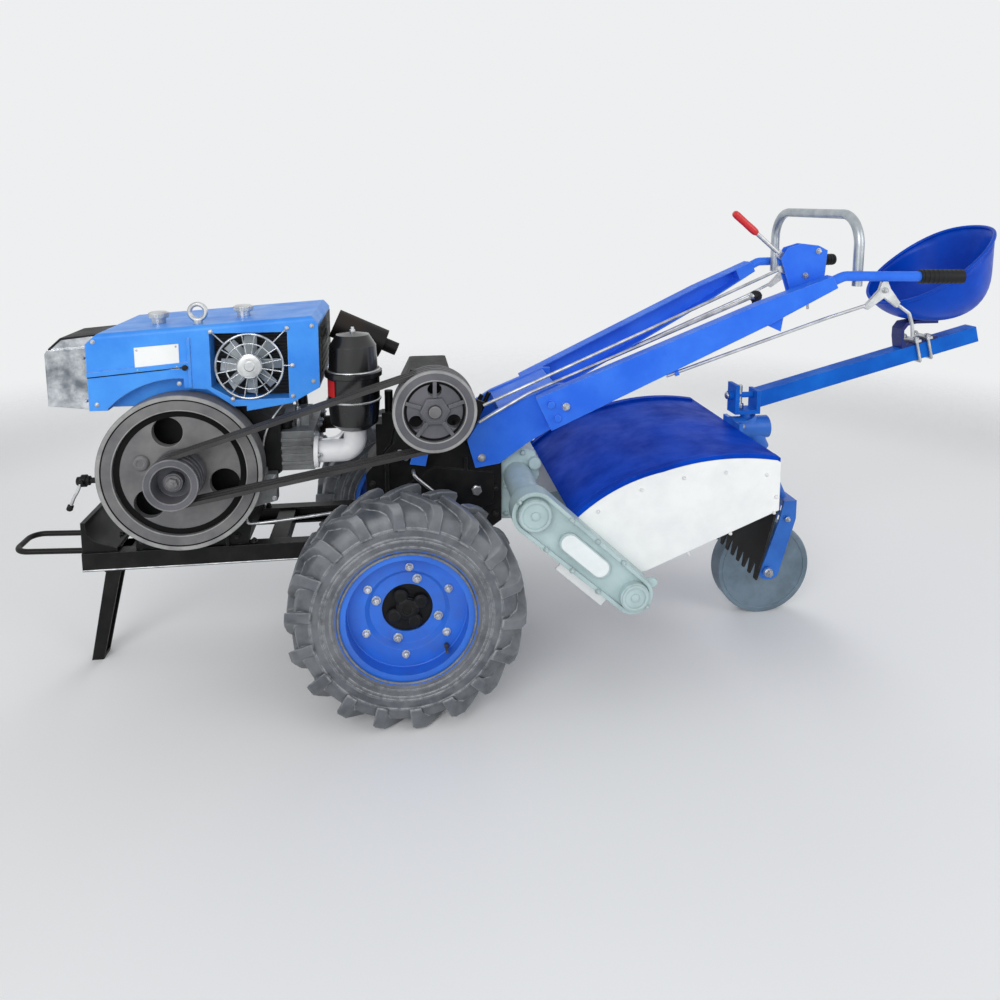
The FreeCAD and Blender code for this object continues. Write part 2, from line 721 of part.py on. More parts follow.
def engine():
    half = size.engineHalf
    length = size.engineFront - size.cylinderFront
    crankcase = sideOutline("crankcase", [
        (-size.engineFront, size.railTop),
        (-size.cylinderFront, size.railTop),
        (-size.cylinderFront + length * 0.1, size.cylinderBottom),
        (-size.headFront, size.headBottom),
        (-size.headFront, size.cylinderTop),
        (-size.cylinderFront, size.engineTop),
        (-size.engineFront + length * 0.06, size.engineTop),
        (-size.engineFront, size.engineTop - length * 0.2),
    ], (-half, half))
    cover = sideOutline("timingCover", [
        (-size.engineFront + length * 0.1, size.railTop + length * 0.15),
        (-size.cylinderFront - length * 0.1, size.railTop + length * 0.15),
        (-size.cylinderFront + length * 0.05, size.cylinderBottom + length * 0.1),
        (-size.cylinderFront + length * 0.05, size.cylinderTop - length * 0.1),
        (-size.cylinderFront - length * 0.2, size.engineTop - length * 0.12),
        (-size.engineFront + length * 0.2, size.engineTop - length * 0.12),
        (-size.engineFront + length * 0.1, size.engineTop - length * 0.3),
    ], (half, half + size.timingCover))
    boss = cylinder("startBoss", "Y", (-size.crankX + length * 0.12, half, size.crankZ - length * 0.16),
                    size.startBoss, size.timingCover * 2)
    solids = [crankcase, cover, boss]
    for share in (0.3, 0.55, 0.8):
        x = -size.engineFront + length * share
        solids.append(box("crankcaseRib", (x, x + size.ribThickness), (-half - size.ribHeight, half),
                          (size.railTop, size.railTop + length * 0.28)))
    bore = cylinder("crankBore", "Y", (-size.crankX, -half - 1, size.crankZ), size.crankShaft + size.runningFit,
                    half * 0.4)
    node(cut("engineBlock", fuse("engineSolids", solids), [bore]), "engine_block")
    inset = size.headInset
    head = box("headBody", (-size.headFront, -size.headRear), (-half + inset, half - inset),
               (size.headBottom, size.headTop))
    rocker = box("rockerCover", (-size.headFront, -size.headRear - inset * 3), (-half * 0.55, half * 0.2),
                 (size.headTop, size.headTop + inset * 6))
    fins = []
    for turn in range(4):
        z = size.headBottom + (size.headTop - size.headBottom) * (0.16 + 0.2 * turn)
        fins.append(box("headFin", (-size.headFront, -size.headRear - inset), (-half, half),
                        (z, z + size.ribHeight)))
    node(fuse("cylinderHead", [head, rocker] + fins), "cylinder_head")


def beltMiddle(turn):
    return size.flywheelFace + size.beltFirst + size.beltPitch * turn


def pulleyFace():
    return beltMiddle(size.beltCount - 1) + size.beltWidth / 2 + size.pulleyLip


def grooves(radius):
    # outline points (along, radius) of the belt grooves, from the inner belt outwards
    points = []
    half = size.beltWidth / 2 + size.beltGap
    bottom = radius - size.beltHeight - size.beltGap * 2
    for turn in range(int(number(size.beltCount))):
        middle = beltMiddle(turn)
        points += [(-(middle - half), radius), (-(middle - half), bottom),
                   (-(middle + half), bottom), (-(middle + half), radius)]
    return points


def roundHoles(name, face, centre, circle, radius, depth, count, firstAngle):
    holes = []
    for turn in range(count):
        angle = math.radians(firstAngle + 360 / count * turn)
        holes.append(cylinder(name, "Y", (centre[0] + circle * math.cos(angle), face,
                                          centre[1] + circle * math.sin(angle)), radius, depth))
    return holes


def flywheel():
    face = -size.flywheelFace
    back = face + size.flywheelWidth
    step = size.ribHeight
    groove = size.flywheelRadius - size.flywheelRim
    wheel = turning("flywheelDisc", "Y", [
        (face, 0),
        (face, size.flywheelBoss),
        (face + step, size.flywheelBoss + 2),
        (face + step, groove - step * 1.5),
        (face + step * 2.5, groove - step * 1.2),
        (face + step * 2.5, groove - 2),
        (face, groove),
        (face, size.flywheelRadius),
        (back, size.flywheelRadius),
        (back, groove),
        (face + step + size.flywheelWeb, groove - step),
        (face + step + size.flywheelWeb, size.flywheelBoss),
        (back, size.flywheelBoss - step),
        (back, size.crankShaft),
        (-size.engineHalf + size.engineHalf * 0.15, size.crankShaft),
        (-size.engineHalf + size.engineHalf * 0.15, 0),
    ], (-size.crankX, 0, size.crankZ))
    holes = roundHoles("flywheelHole", face - 1, (-size.crankX, size.crankZ), size.flywheelHoleCircle,
                       size.flywheelHole, size.flywheelWidth, 3, 104)
    node(cut("flywheel", wheel, holes), "flywheel")
    front = -pulleyFace()
    mouth = front + size.drivePulleyDepth
    outline = [(face, 0), (face, size.drivePulleyRadius)]
    outline += grooves(size.drivePulleyRadius)
    outline += [
        (front, size.drivePulleyRadius),
        (front, size.drivePulleyMouth),
        (mouth, size.drivePulleyMouth - step / 2),
        (mouth, size.drivePulleyMouth / 2),
        (front + size.drivePulleyDepth / 2, size.drivePulleyMouth / 2),
        (front + size.drivePulleyDepth / 2, 0),
    ]
    node(turning("enginePulley", "Y", outline, (-size.crankX, 0, size.crankZ)), "engine_pulley")


def clutchPulley():
    face = -pulleyFace()
    back = -(beltMiddle(0) - size.beltWidth / 2 - size.pulleyLip)
    radius = size.clutchPulleyRadius
    bore = size.clutchShaft + size.runningFit
    step = size.ribHeight
    web = face + (back - face) * 0.5
    outline = [
        (face, bore),
        (face, size.clutchPulleyHub),
        (face + step, size.clutchPulleyHub + 2),
        (face + step, radius - size.clutchPulleyRim - 2),
        (face, radius - size.clutchPulleyRim),
        (face, radius),
    ]
    outline += reversed(grooves(radius))
    outline += [
        (back, radius),
        (back, radius - size.clutchPulleyRim * 0.7),
        (web, radius - size.clutchPulleyRim * 0.9),
        (web, size.clutchPulleyHub + 2),
        (back, size.clutchPulleyHub),
        (back, bore),
    ]
    drum = turning("clutchDrum", "Y", outline, (size.clutchX, 0, size.clutchZ))
    windows = roundHoles("clutchWindow", face + step / 2, (size.clutchX, size.clutchZ), size.clutchWindowCircle,
                         size.clutchWindow, (back - face) * 0.6, 3, 90)
    node(cut("clutchPulley", drum, windows), "clutch_pulley")


def belts():
    inner = [number(radius - size.beltHeight - size.beltGap) for radius in (size.drivePulleyRadius,
                                                                            size.clutchPulleyRadius)]
    outer = [radius + number(size.beltHeight) for radius in inner]
    loops = []
    for turn in range(int(number(size.beltCount))):
        y = -number(beltMiddle(turn) + size.beltWidth / 2)
        centres = [point(-size.crankX, y, size.crankZ), point(size.clutchX, y, size.clutchZ)]
        rings = [strapFace(centres[0], radii[0], centres[1], radii[1]) for radii in (outer, inner)]
        loops.append(rings[0].cut(rings[1]).extrude(Vector(0, number(size.beltWidth), 0)).Solids[0])
    node(feature("belts", Part.makeCompound(loops)), "drive_belts")


# hood, tank and radiator

def hoodTopAt(x):
    rise = (size.hoodRearTop - size.hoodFrontTop) / (size.hoodFront - size.hoodRear)
    return size.hoodFrontTop + (x + size.hoodFront) * rise


def fanOpening(name, ys):
    # the radiator opening with one corner cut off for the flywheel
    left = -size.fanX - size.fanOpening / 2
    low = size.fanZ - size.fanOpeningHeight / 2
    corner = size.fanOpeningCorner
    return sideOutline(name, [
        (left, low + corner * 0.6),
        (left + corner, low),
        (left + size.fanOpening, low),
        (left + size.fanOpening, low + size.fanOpeningHeight),
        (left, low + size.fanOpeningHeight),
    ], ys)


def hood():
    half = size.hoodHalf
    step = size.archRear - size.fanX - size.fanOpening / 2
    low = size.fanZ - size.fanOpeningHeight / 2
    front = -size.hoodFront
    rear = -size.hoodRear
    body = sideOutline("hoodBody", [
        (front, size.engineTop),
        (-size.cylinderFront + step * 0.3, size.engineTop),
        (-size.cylinderFront + step * 0.3, size.engineTop - step * 0.2),
        (-size.cylinderFront + step * 2, low - step * 0.2),
        (rear, size.hoodRearBottom),
        (rear, size.hoodRearTop - step * 0.3),
        (rear - step * 0.25, size.hoodRearTop),
        (front + step * 0.4, size.hoodFrontTop + step * 0.02),
        (front, size.hoodFrontTop - step * 0.35),
    ], (-half, half))
    arcFoot = size.engineTop + 5
    dropped = math.sqrt(number(size.archRadius) ** 2 - number(arcFoot - size.crankZ) ** 2)
    rise = math.sqrt(number(size.archRadius) ** 2 - number(size.crankX - size.archRear) ** 2)
    tools = []
    for side in (-1, 1):
        tools.append(sideOutline("hoodArch", [
            (-size.crankX - dropped, size.engineTop - step),
            (-size.cylinderFront, size.engineTop - step),
            (-size.cylinderFront + step * 0.1, size.engineTop - step * 0.2),
            (-size.fanX - size.fanOpening / 2 - step * 0.15, size.engineTop + step * 0.7),
            (-size.archRear, size.engineTop + step * 0.78),
            (-size.archRear, size.crankZ + rise, size.archRadius),
            (-size.crankX - dropped, arcFoot),
        ], across(side, half - size.skirtDepth, half + 1)))
    tools.append(fanOpening("fanWell", (-half - 1, half + 1)))
    shell = rounded("hoodShell", cut("hoodCut", body, tools), size.hoodRound,
                    lambda middle, bounds: bounds.YLength < 1 and bounds.XLength > number(step) * 2
                    and middle.z > number(size.hoodFrontTop) + 5)
    trims = []
    for side in (-1, 1):
        ys = across(side, half, half + size.hoodBead)
        trims.append(sideOutline("hoodBeadStrip", [
            (front, size.hoodFrontTop - step * 1.6),
            (-size.archRear + step * 0.2, size.hoodFrontTop - step * 1.28),
            (-size.archRear + step * 0.2, size.hoodFrontTop - step * 1.1),
            (front, size.hoodFrontTop - step * 1.42),
        ], ys))
        trims.append(box("radiatorEdge", (-size.archRear + step * 0.2, -size.archRear + step * 0.3), ys,
                         (size.engineTop + step * 0.8, size.hoodFrontTop - size.hoodRound)))
    whole = node(fuse("hood", [shell] + trims), "hood")

    lids = []
    for x in (-size.fuelCapX, -size.radiatorCapX):
        top = hoodTopAt(x)
        outline = [
            (0, -size.hoodBead),
            (size.capRadius * 0.7, -size.hoodBead),
            (size.capRadius * 0.7, size.capHeight),
            (size.capRadius, size.capHeight),
            (size.capRadius, size.capHeight * 1.8),
            (size.capRadius * 0.8, size.capHeight * 2),
            (0, size.capHeight * 2),
        ]
        lids.append(turning("fillerCap", "Z", outline, (x, -size.capY, top)))
    node(cut("fillerCaps", fuse("capLids", lids), [whole]), "filler_caps")
    x = -size.eyeX
    y = -size.eyeY
    top = hoodTopAt(x)
    wire = size.eyeWire
    inner = size.eyeRadius - wire
    ring = turning("eyeRing", "Y", [
        (-wire / 2, inner + wire * 0.3),
        (-wire * 0.2, inner),
        (wire * 0.2, inner),
        (wire / 2, inner + wire * 0.3),
        (wire / 2, size.eyeRadius - wire * 0.3),
        (wire * 0.2, size.eyeRadius),
        (-wire * 0.2, size.eyeRadius),
        (-wire / 2, size.eyeRadius - wire * 0.3),
    ], (x, y, top + size.eyeRadius + wire * 0.4))
    stem = cylinder("eyeStem", "Z", (x, y, top - size.hoodBead), wire, wire * 0.9 + size.hoodBead)
    node(cut("liftingEye", fuse("eyeWhole", [stem, ring]), [whole]), "lifting_eye")


def fan():
    half = size.hoodHalf
    centre = (-size.fanX, size.fanZ)
    core = fanOpening("radiatorBlock", (-half + size.fanDepth, half - size.fanDepth / 2))
    stub = cylinder("fanStub", "Y", (centre[0], -half + size.fanDepth / 3, centre[1]), size.fanShaft, size.fanDepth)
    node(fuse("radiatorCore", [core, stub]), "radiator_core")
    hubFront = -half + size.fanDepth / 5
    hub = cylinder("fanHub", "Y", (centre[0], hubFront, centre[1]), size.fanHubRadius, size.fanHubLength)
    width = number(size.bladeWidth)
    root = number(size.fanHubRadius) - 4
    blades = []
    count = int(number(size.fanBlades))
    for turn in range(count):
        blade = Part.makeBox(number(size.fanRadius) - root, number(size.sheet), width,
                             Vector(root, -number(size.sheet) / 2, -width / 2))
        blade.rotate(Vector(), Vector(1, 0, 0), number(size.bladePitch))
        blade.rotate(Vector(), Vector(0, 1, 0), 360 / count * turn)
        blade.translate(point(centre[0], hubFront + size.fanHubLength / 2, centre[1]))
        blades.append(blade)
    wheel = fuse("fanWheel", [hub, feature("fanBlades", Part.makeCompound(blades))])
    bore = cylinder("fanBore", "Y", (centre[0], hubFront + size.sideGap, centre[1]),
                    size.fanShaft + size.runningFit, size.fanDepth)
    node(cut("fan", wheel, [bore]), "fan")

    rod = size.guardRod
    front = -half - rod
    bars = []
    for radius in (size.guardRadius, size.fanHubRadius):
        bars.append(turning("guardRing", "Y", [
            (front, radius - rod),
            (front, radius),
            (front + rod, radius),
            (front + rod, radius - rod),
        ], (centre[0], 0, centre[1])))
    # bars of the guard: angle from the rear, first and last radius
    spokes = [(22.5 + 45 * turn, number(size.fanHubRadius) - 2, number(size.guardRadius) - 1) for turn in range(8)]
    corner = number(size.fanOpening) / 2
    legs = [(0, corner * 0.85, corner * 1.15), (45, corner * 0.85, corner * 1.46), (135, corner * 0.85, corner * 1.4),
            (242, corner * 0.85, corner * 1.04)]
    for angle, first, last in spokes + legs:
        bar = Part.makeBox(last - first, number(rod), number(rod), Vector(first, number(front), -number(rod) / 2))
        bar.rotate(Vector(), Vector(0, 1, 0), -angle)
        bar.translate(point(centre[0], 0, centre[1]))
        bars.append(feature("guardBar", bar))
    node(fuse("fanGuard", bars), "fan_guard")


def headLamp():
    half = size.lampHalf
    front = -size.lampFront
    length = size.lampFront - size.lampRear
    height = size.lampTop - size.lampBottom
    shell = sideOutline("lampShell", spread(front, size.lampBottom, length, height, [
        (0, 0.08), (1, 0), (1, 1.02), (0.06, 0.98), (0, 0.92)]), (-half, half))
    pocket = box("lampPocket", (front - 1, front + size.lampGlass), (-half + size.lampBezel, half - size.lampBezel),
                 (size.lampBottom + height * 0.08 + size.lampBezel, size.lampTop - size.lampBezel * 1.5))
    arm = box("lampArm", (-size.lampRear, -size.hoodFront), (-half * 0.5, half * 0.5),
              (size.lampBottom + height * 0.2, size.lampBottom + height * 0.5))
    hoodward = size.lampFront - size.hoodFront
    cowl = sideOutline("lampCowl", spread(front, size.lampTop, hoodward, height, [
        (0.04, -0.04), (length * (1 / number(hoodward)), 0), (1, 0.06), (1, 0.2), (0.28, 0.16)]),
        (-half + size.sheet, half - size.sheet))
    node(fuse("headLamp", [cut("lampBody", shell, [pocket]), arm, cowl]), "head_lamp")
    node(box("lampGlassPlate", (front + size.sheet / 2, front + size.lampGlass),
             (-half + size.lampBezel, half - size.lampBezel),
             (size.lampBottom + height * 0.08 + size.lampBezel, size.lampTop - size.lampBezel * 1.5)), "lamp_glass")


def intake():
    x = -size.filterX
    y = -size.filterY
    radius = size.filterRadius
    height = size.filterTop - size.filterBottom
    outline = [(radius * share, size.filterBottom + height * rise) for share, rise in [
        (0, 0), (0.62, 0), (0.9, 0.06), (0.98, 0.28), (0.98, 0.54), (1.08, 0.55), (1.08, 0.6), (0.92, 0.62),
        (0.88, 0.86), (0.62, 0.97), (0, 1)]]
    node(turning("airFilter", "Z", outline, (x, y, 0)), "air_filter")
    pipe = rodShape([point(-size.headRear, y, size.elbowZ), point(x, y, size.elbowZ),
                     point(x, y, size.filterBottom)], size.elbowRadius, size.elbowRadius * 1.1)
    flange = cylinder("elbowFlangePlate", "X", (-size.headRear, y, size.elbowZ), size.elbowFlange, size.pipeFlange)
    node(fuse("intakeElbow", [feature("elbowPipe", pipe), flange]), "intake_elbow")


def exhaust():
    y = size.exhaustY
    bend = size.exhaustPipe * 2
    fall = number(size.mufflerFall)
    start = point(-size.mufflerX, y, size.mufflerZ)
    along = Vector(math.cos(math.radians(fall)), 0, -math.sin(math.radians(fall)))
    riser = start + along * (number(size.mufflerLength) * 0.35)
    drum = straightRod(start, start + along * number(size.mufflerLength), size.mufflerRadius)
    cap = straightRod(start + along * number(size.mufflerLength),
                      start + along * (number(size.mufflerLength) + number(size.mufflerRadius)),
                      size.exhaustPipe)
    pipe = rodShape([point(-size.headRear, y, size.exhaustZ), Vector(riser.x, number(y), number(size.exhaustZ)),
                     riser], size.exhaustPipe, bend)
    flange = cylinder("exhaustFlange", "X", (-size.headRear, y, size.exhaustZ), size.exhaustPipe * 1.6,
                      size.pipeFlange)
    node(fuse("muffler", [feature("exhaustPipe", pipe), feature("mufflerDrum", drum.fuse(cap)), flange]), "muffler")


# gearbox, axles and wheels

def gearbox():
    half = size.gearboxHalf
    front = -size.gearboxFront
    rear = size.gearboxRear
    bottom = size.gearboxBottom
    length = size.gearboxFront + size.gearboxRear
    tall = size.gearboxTop - size.gearboxShoulder
    case = sideOutline("gearCase", [
        (front, bottom + length * 0.18),
        (front + length * 0.13, bottom),
        (front + length * 0.56, bottom),
        (front + length * 0.76, bottom + length * 0.28),
        (rear, bottom + length * 0.45),
        (rear, size.gearboxShoulder),
        (size.clutchX + size.clutchCaseRadius * 1.6, size.gearboxShoulder + tall * 0.15),
        (size.clutchX + size.clutchCaseRadius, size.gearboxTop - tall * 0.2),
        (size.clutchX + size.clutchCaseRadius * 0.8, size.gearboxTop),
        (size.clutchX - size.clutchCaseRadius * 0.9, size.gearboxTop),
        (size.clutchX - size.clutchCaseRadius * 1.3, size.gearboxTop - tall * 0.2),
        (front + length * 0.18, size.gearboxShoulder + tall * 0.15),
        (front, size.gearboxShoulder - tall * 0.15),
    ], (-half, half))
    case = rounded("gearCaseRounded", case, size.ribThickness * 1.2,
                   lambda middle, bounds: bounds.YLength < 1 and middle.z > number(size.gearboxShoulder)
                   and middle.z < number(size.gearboxTop) - 1)
    solids = [
        case,
        cylinder("clutchCase", "Y", (size.clutchX, -half * 1.75, size.clutchZ), size.clutchCaseRadius, half),
        cylinder("clutchShaftBar", "Y", (size.clutchX, -pulleyFace() - size.sheet, size.clutchZ), size.clutchShaft,
                 pulleyFace() - half),
    ]
    # lever that the control rods hook into, and the steps with the oil pipe in front of the clutch case
    lane = -(size.handleFrontY - size.handleWidth / 2) - size.runningFit * 7
    solids.append(sideOutline("rodLever", [
        (size.clutchX + size.clutchCaseRadius * 0.88, size.clutchZ + 14),
        (size.clutchRodX + 5, size.clutchRodZ + 7),
        (size.clutchRodX - 3, size.clutchRodZ - 7),
        (size.gearRodX + 3, size.gearRodZ + 6),
        (size.gearRodX - 8, size.gearRodZ + 2),
        (size.clutchX + size.clutchCaseRadius, size.clutchZ - 22),
    ], (lane, lane + size.ribHeight)))
    for x, top in ((front + 30, 700), (front + 48, 733)):
        solids.append(box("oilStep", (x, front + 91), (-80, -34), (size.gearboxShoulder - 20, top)))
    solids.append(cylinder("oilPipe", "Z", (front + 69, -60, 700), size.ribThickness * 1.2, 95))
    # cover over the gears, and ribs between it and the edges of the case
    for side in (-1, 1):
        ys = across(side, half, half + size.ribHeight)
        solids.append(sideOutline("gearCover", spread(front, bottom, length, size.gearboxShoulder - bottom, [
            (0.62, 0.5), (0.94, 0.62), (0.94, 0.87), (0.5, 0.93), (0.3, 0.8)]), ys))
        for share in (0.14, 0.72):
            x = front + length * share
            solids.append(box("gearRib", (x, x + size.ribThickness), ys,
                              (bottom + length * 0.3, size.gearboxShoulder)))
    for side in (-1, 1):
        outer = number(size.track / 2 + size.discOffset - size.hubFlange - size.hubLength - size.sideGap)
        shaft = number(size.axleShaftLength)
        gap = number(size.sideGap)
        bore = size.axleShaftRadius + size.runningFit
        solids.append(turning("axleHousing", "Y", [
            ((half - 10) * side, 0),
            ((half - 10) * side, size.housingFlange),
            ((half + 14) * side, size.housingFlange),
            ((half + 26) * side, size.housingRoot),
            (outer * side, size.housingRadius),
            (outer * side, bore),
            ((outer - shaft) * side, bore),
            ((outer - shaft) * side, 0),
        ], (0, 0, size.axleHeight)))
    node(fuse("gearbox", solids), "gearbox")


def lugBars(side):
    # each lug stands on the faceted tread; its corners reach the tyre's full radius
    bars = []
    count = int(number(size.lugCount))
    middle = number(size.track) / 2 * side
    length = number(size.lugLength)
    thick = number(size.lugThickness)
    slant = math.radians(number(size.lugSlant))
    swing = length / 2 * math.sin(slant) + thick / 2 * math.cos(slant)
    crest = math.sqrt(number(size.axleHeight) ** 2 - swing ** 2)
    foot = number(size.treadRadius - size.lugFoot)
    for half in (-1, 1):
        for turn in range(count):
            bar = Part.makeBox(thick, length, crest - foot, Vector(-thick / 2, -length / 2, foot))
            bar.rotate(Vector(), Vector(0, 0, 1), half * math.degrees(slant))
            bar.translate(Vector(0, half * (number(size.bellyHalf) - length / 2 * math.cos(slant)), 0))
            angle = 360 / count * (turn + (0.5 if half > 0 else 0))
            bar.rotate(Vector(), Vector(0, 1, 0), angle)
            bar.translate(point(0, middle, size.axleHeight))
            bars.append(bar)
    return bars


def treadBand(side):
    # the tread is a prism with a flat under each lug
    count = int(number(size.lugCount)) * 2
    half = number(size.shoulderHalf)
    middle = number(size.track) / 2 * side
    reach = number(size.treadRadius) / math.cos(math.pi / count)
    ring = []
    for turn in range(count + 1):
        angle = 2 * math.pi / count * (turn + 0.5)
        ring.append(point(reach * math.sin(angle), middle - half, number(size.axleHeight) + reach * math.cos(angle)))
    centre = point(0, middle - half - 1, size.axleHeight)
    core = Part.makeCylinder(number(size.bellyRadius), 2 * half + 2, centre, Vector(0, 1, 0))
    return Part.Face(Part.makePolygon(ring)).extrude(Vector(0, 2 * half, 0)).cut(core)


def wheels():
    for side, name in ((-1, "left"), (1, "right")):
        centre = (0, size.track / 2 * side, size.axleHeight)
        bead = size.tyreWidth / 2
        carcass = turning("carcass" + name, "Y", [
            (-bead, size.beadRadius),
            (bead, size.beadRadius),
            (bead, size.flangeRadius),
            (size.bellyHalf, size.bellyRadius),
            (size.shoulderHalf, size.shoulderRadius),
            (-size.shoulderHalf, size.shoulderRadius),
            (-size.bellyHalf, size.bellyRadius),
            (-bead, size.flangeRadius),
        ], centre)
        band = treadBand(side)
        tread = feature("tread" + name, band.multiFuse(lugBars(side)))
        node(fuse("tyre" + name, [carcass, tread]), "tyre_" + name)
        wall = size.rimWall
        seat = size.beadRadius
        disc = size.discOffset
        ring = disc + size.discStep
        node(turning("rim" + name, "Y", [(along * side, radius) for along, radius in [
            (disc + wall, size.hubHoleRadius),
            (disc + wall, size.stepRadius - wall),
            (ring + wall, size.stepRadius + wall),
            (ring + wall, seat - wall),
            (bead + wall, seat - wall),
            (bead + wall, size.flangeRadius),
            (bead, size.flangeRadius),
            (bead, seat),
            (-bead, seat),
            (-bead, size.flangeRadius),
            (-bead - wall, size.flangeRadius),
            (-bead - wall, seat - wall),
            (ring, seat - wall),
            (ring, size.stepRadius + wall),
            (disc, size.stepRadius - wall),
            (disc, size.hubHoleRadius),
        ]], centre), "rim_" + name)
        back = disc - size.hubFlange
        inner = back - size.hubLength
        node(turning("hub" + name, "Y", [(along * side, radius) for along, radius in [
            (disc + size.hubFlange, 0),
            (disc + size.hubFlange, size.hubRadius * 0.7),
            (disc, size.hubRadius * 0.7),
            (disc, size.hubFlangeRadius),
            (back, size.hubFlangeRadius),
            (back, size.hubRadius),
            (inner, size.hubRadius),
            (inner, size.axleShaftRadius),
            (inner - size.axleShaftLength, size.axleShaftRadius),
            (inner - size.axleShaftLength, 0),
        ]], centre), "hub_" + name)


# handles

def handleBase():
    half = size.handleFrontY - size.handleWidth / 2 - size.handleClear
    plates = []
    for side in (-1, 1):
        plates.append(sideOutline("basePlate", spread(size.baseFront, size.baseBottom, size.baseLength,
                                                      size.baseHeight, [
            (0.096, 0), (0.336, 0.041), (0.616, 0.281), (0.88, 0.463), (1, 0.587), (1, 1), (0.911, 1),
            (0.342, 0.719), (0.134, 0.562), (0.017, 0.335)]), across(side, size.gearboxHalf, half)))
    bridge = sideOutline("baseBridge", spread(size.baseFront, size.baseBottom, size.baseLength, size.baseHeight, [
        (0.342, 0.62), (0.911, 0.93), (0.911, 0.99), (0.342, 0.7)]), (-size.gearboxHalf - 2, size.gearboxHalf + 2))
    node(fuse("handleBase", plates + [bridge]), "handle_base")


def handleLine(side):
    # both ends of one pressed bar and its three directions
    start = point(size.handleFrontX, size.handleFrontY * side, size.handleFrontZ)
    end = point(size.handleRearX, size.handleRearY * side, size.handleRearZ)
    return start, end, frameAlong(start, end)


def tubeLine(side):
    # the straight part of a handle tube: where it leaves the bar's slope, and its end in the grip
    start, end, (along, aside, top) = handleLine(side)
    knee = end + along * ((number(size.handleTubeZ) - end.z) / along.z)
    return knee, point(size.gripEnd, size.gripSpread * side, size.handleTubeZ)


def steeringPath(side):
    # the rod of a steering lever, from the cast arm to its guide under the bar
    knee, tip = tubeLine(side)
    x = number(size.axleX + size.steerX)
    y = knee.y + (tip.y - knee.y) * (x - knee.x) / (tip.x - knee.x)
    start, end, (along, aside, top) = handleLine(side)
    arm = Vector(x - number(size.steerLength) * 0.56, y, number(size.steerZ) - number(size.steerDrop) * 0.93)
    under = start + (end - start) * 0.94 - top * 90
    guide = start + (end - start) * 0.44 - top * 53
    return [arm, under, guide, guide - (under - guide).normalize() * 30], Vector(x, y, number(size.steerZ))


def handles():
    width = number(size.handleWidth)
    wall = number(size.handleWall)
    share = number(size.handleKnee)
    depths = [number(depth) for depth in (size.handleDepthFront, size.handleDepthKnee, size.handleDepthRear)]
    closed = share + (1 - share) * 0.7
    closedDepth = depths[1] + (depths[2] - depths[1]) * 0.7
    grips = []
    for side, name in ((-1, "left"), (1, "right")):
        start, end, (along, aside, top) = handleLine(side)
        whole = end - start
        bar = barShape([(start, width, depths[0]), (start + whole * share, width, depths[1]),
                        (end, width, depths[2])], aside, top)
        inward = aside * (wall if aside.y * side < 0 else -wall)
        hollow = barShape([(start + inward + along * wall, width, depths[0] - 2 * wall),
                           (start + inward + whole * share, width, depths[1] - 2 * wall),
                           (start + inward + whole * closed, width, closedDepth - 2 * wall)], aside, top)
        solids = [bar.cut(hollow)]
        # bolts through the bar into the base plate
        plate = number(size.handleFrontY - size.handleWidth / 2 - size.handleClear)
        for run, lift in ((28, 22), (28, -22), (64, 0)):
            spot = start + along * run + top * lift
            solids.append(Part.makeCylinder(10, width + 18, Vector(spot.x, plate * side, spot.z),
                                            Vector(0, side, 0)))
        # guide of the steering rod
        path, pivot = steeringPath(side)
        way = (path[2] - path[1]).normalize()
        rod = number(size.steerRod)
        collar = straightRod(path[2] - way * 6, path[2] + way * 6, rod * 2)
        collar = collar.fuse(straightRod(path[2] + top * (rod * 1.2), path[2] + top * (rod * 2.6), rod * 0.8))
        solids.append(collar.cut(straightRod(path[2] - way * 20, path[2] + way * 20,
                                             rod + number(size.runningFit))))
        if side < 0:
            # lug under the bar, and two studs that carry the quadrant
            corners = [start + whole * 0.755 - top * (depths[1] / 2 - 1),
                       start + whole * 0.79 - top * (depths[1] / 2 + 36),
                       start + whole * 0.82 - top * (depths[1] / 2 - 5)]
            lug = Part.Face(Part.makePolygon(corners + corners[:1])).extrude(aside * 6)
            solids.append(lug)
            for run, lift in ((0.905, 8), (0.978, 5)):
                spot = start + whole * run + top * lift
                reach = abs(spot.y) + width / 2 - wall / 2 - number(size.quadrantY)
                solids.append(Part.makeCylinder(rod * 1.2, reach, Vector(spot.x, -number(size.quadrantY), spot.z),
                                                Vector(0, -1, 0)))
        knee, tip = tubeLine(side)
        tube = rodShape([end - along * 50, knee, tip], size.handleTube, 40)
        node(fuse("handle" + name, [feature("pressedBar" + name, solids[0].multiFuse(solids[1:])),
                                    feature("handleTube" + name, tube)]), "handlebar_" + name)
        way = (tip - knee).normalize()
        first = tip - way * number(size.gripLength)
        sleeve = straightRod(first, tip + way * 4, size.gripRadius)
        grips.append(sleeve.cut(straightRod(first - way * 5, tip, size.handleTube + size.runningFit)))
    node(feature("handGrips", Part.makeCompound(grips)), "hand_grips")


def hoop():
    # its legs stand on the inner sides of the handle tubes
    legs = []
    for side in (-1, 1):
        knee, tip = tubeLine(side)
        way = (tip - knee).normalize()
        x = number(size.axleX + size.hoopX)
        beside = knee.y + way.y * (x - knee.x) / way.x
        apart = number(size.handleTube + size.hoopTube + size.runningFit) / way.x
        legs.append(Vector(x, beside - side * apart, 0))
    low = Vector(0, 0, number(size.hoopBottom))
    high = Vector(0, 0, number(size.hoopTop))
    path = [legs[0] + low, legs[0] + high, legs[1] + high, legs[1] + low]
    node(feature("hoop", rodShape(path, size.hoopTube, size.hoopBend)), "hoop")


# controls

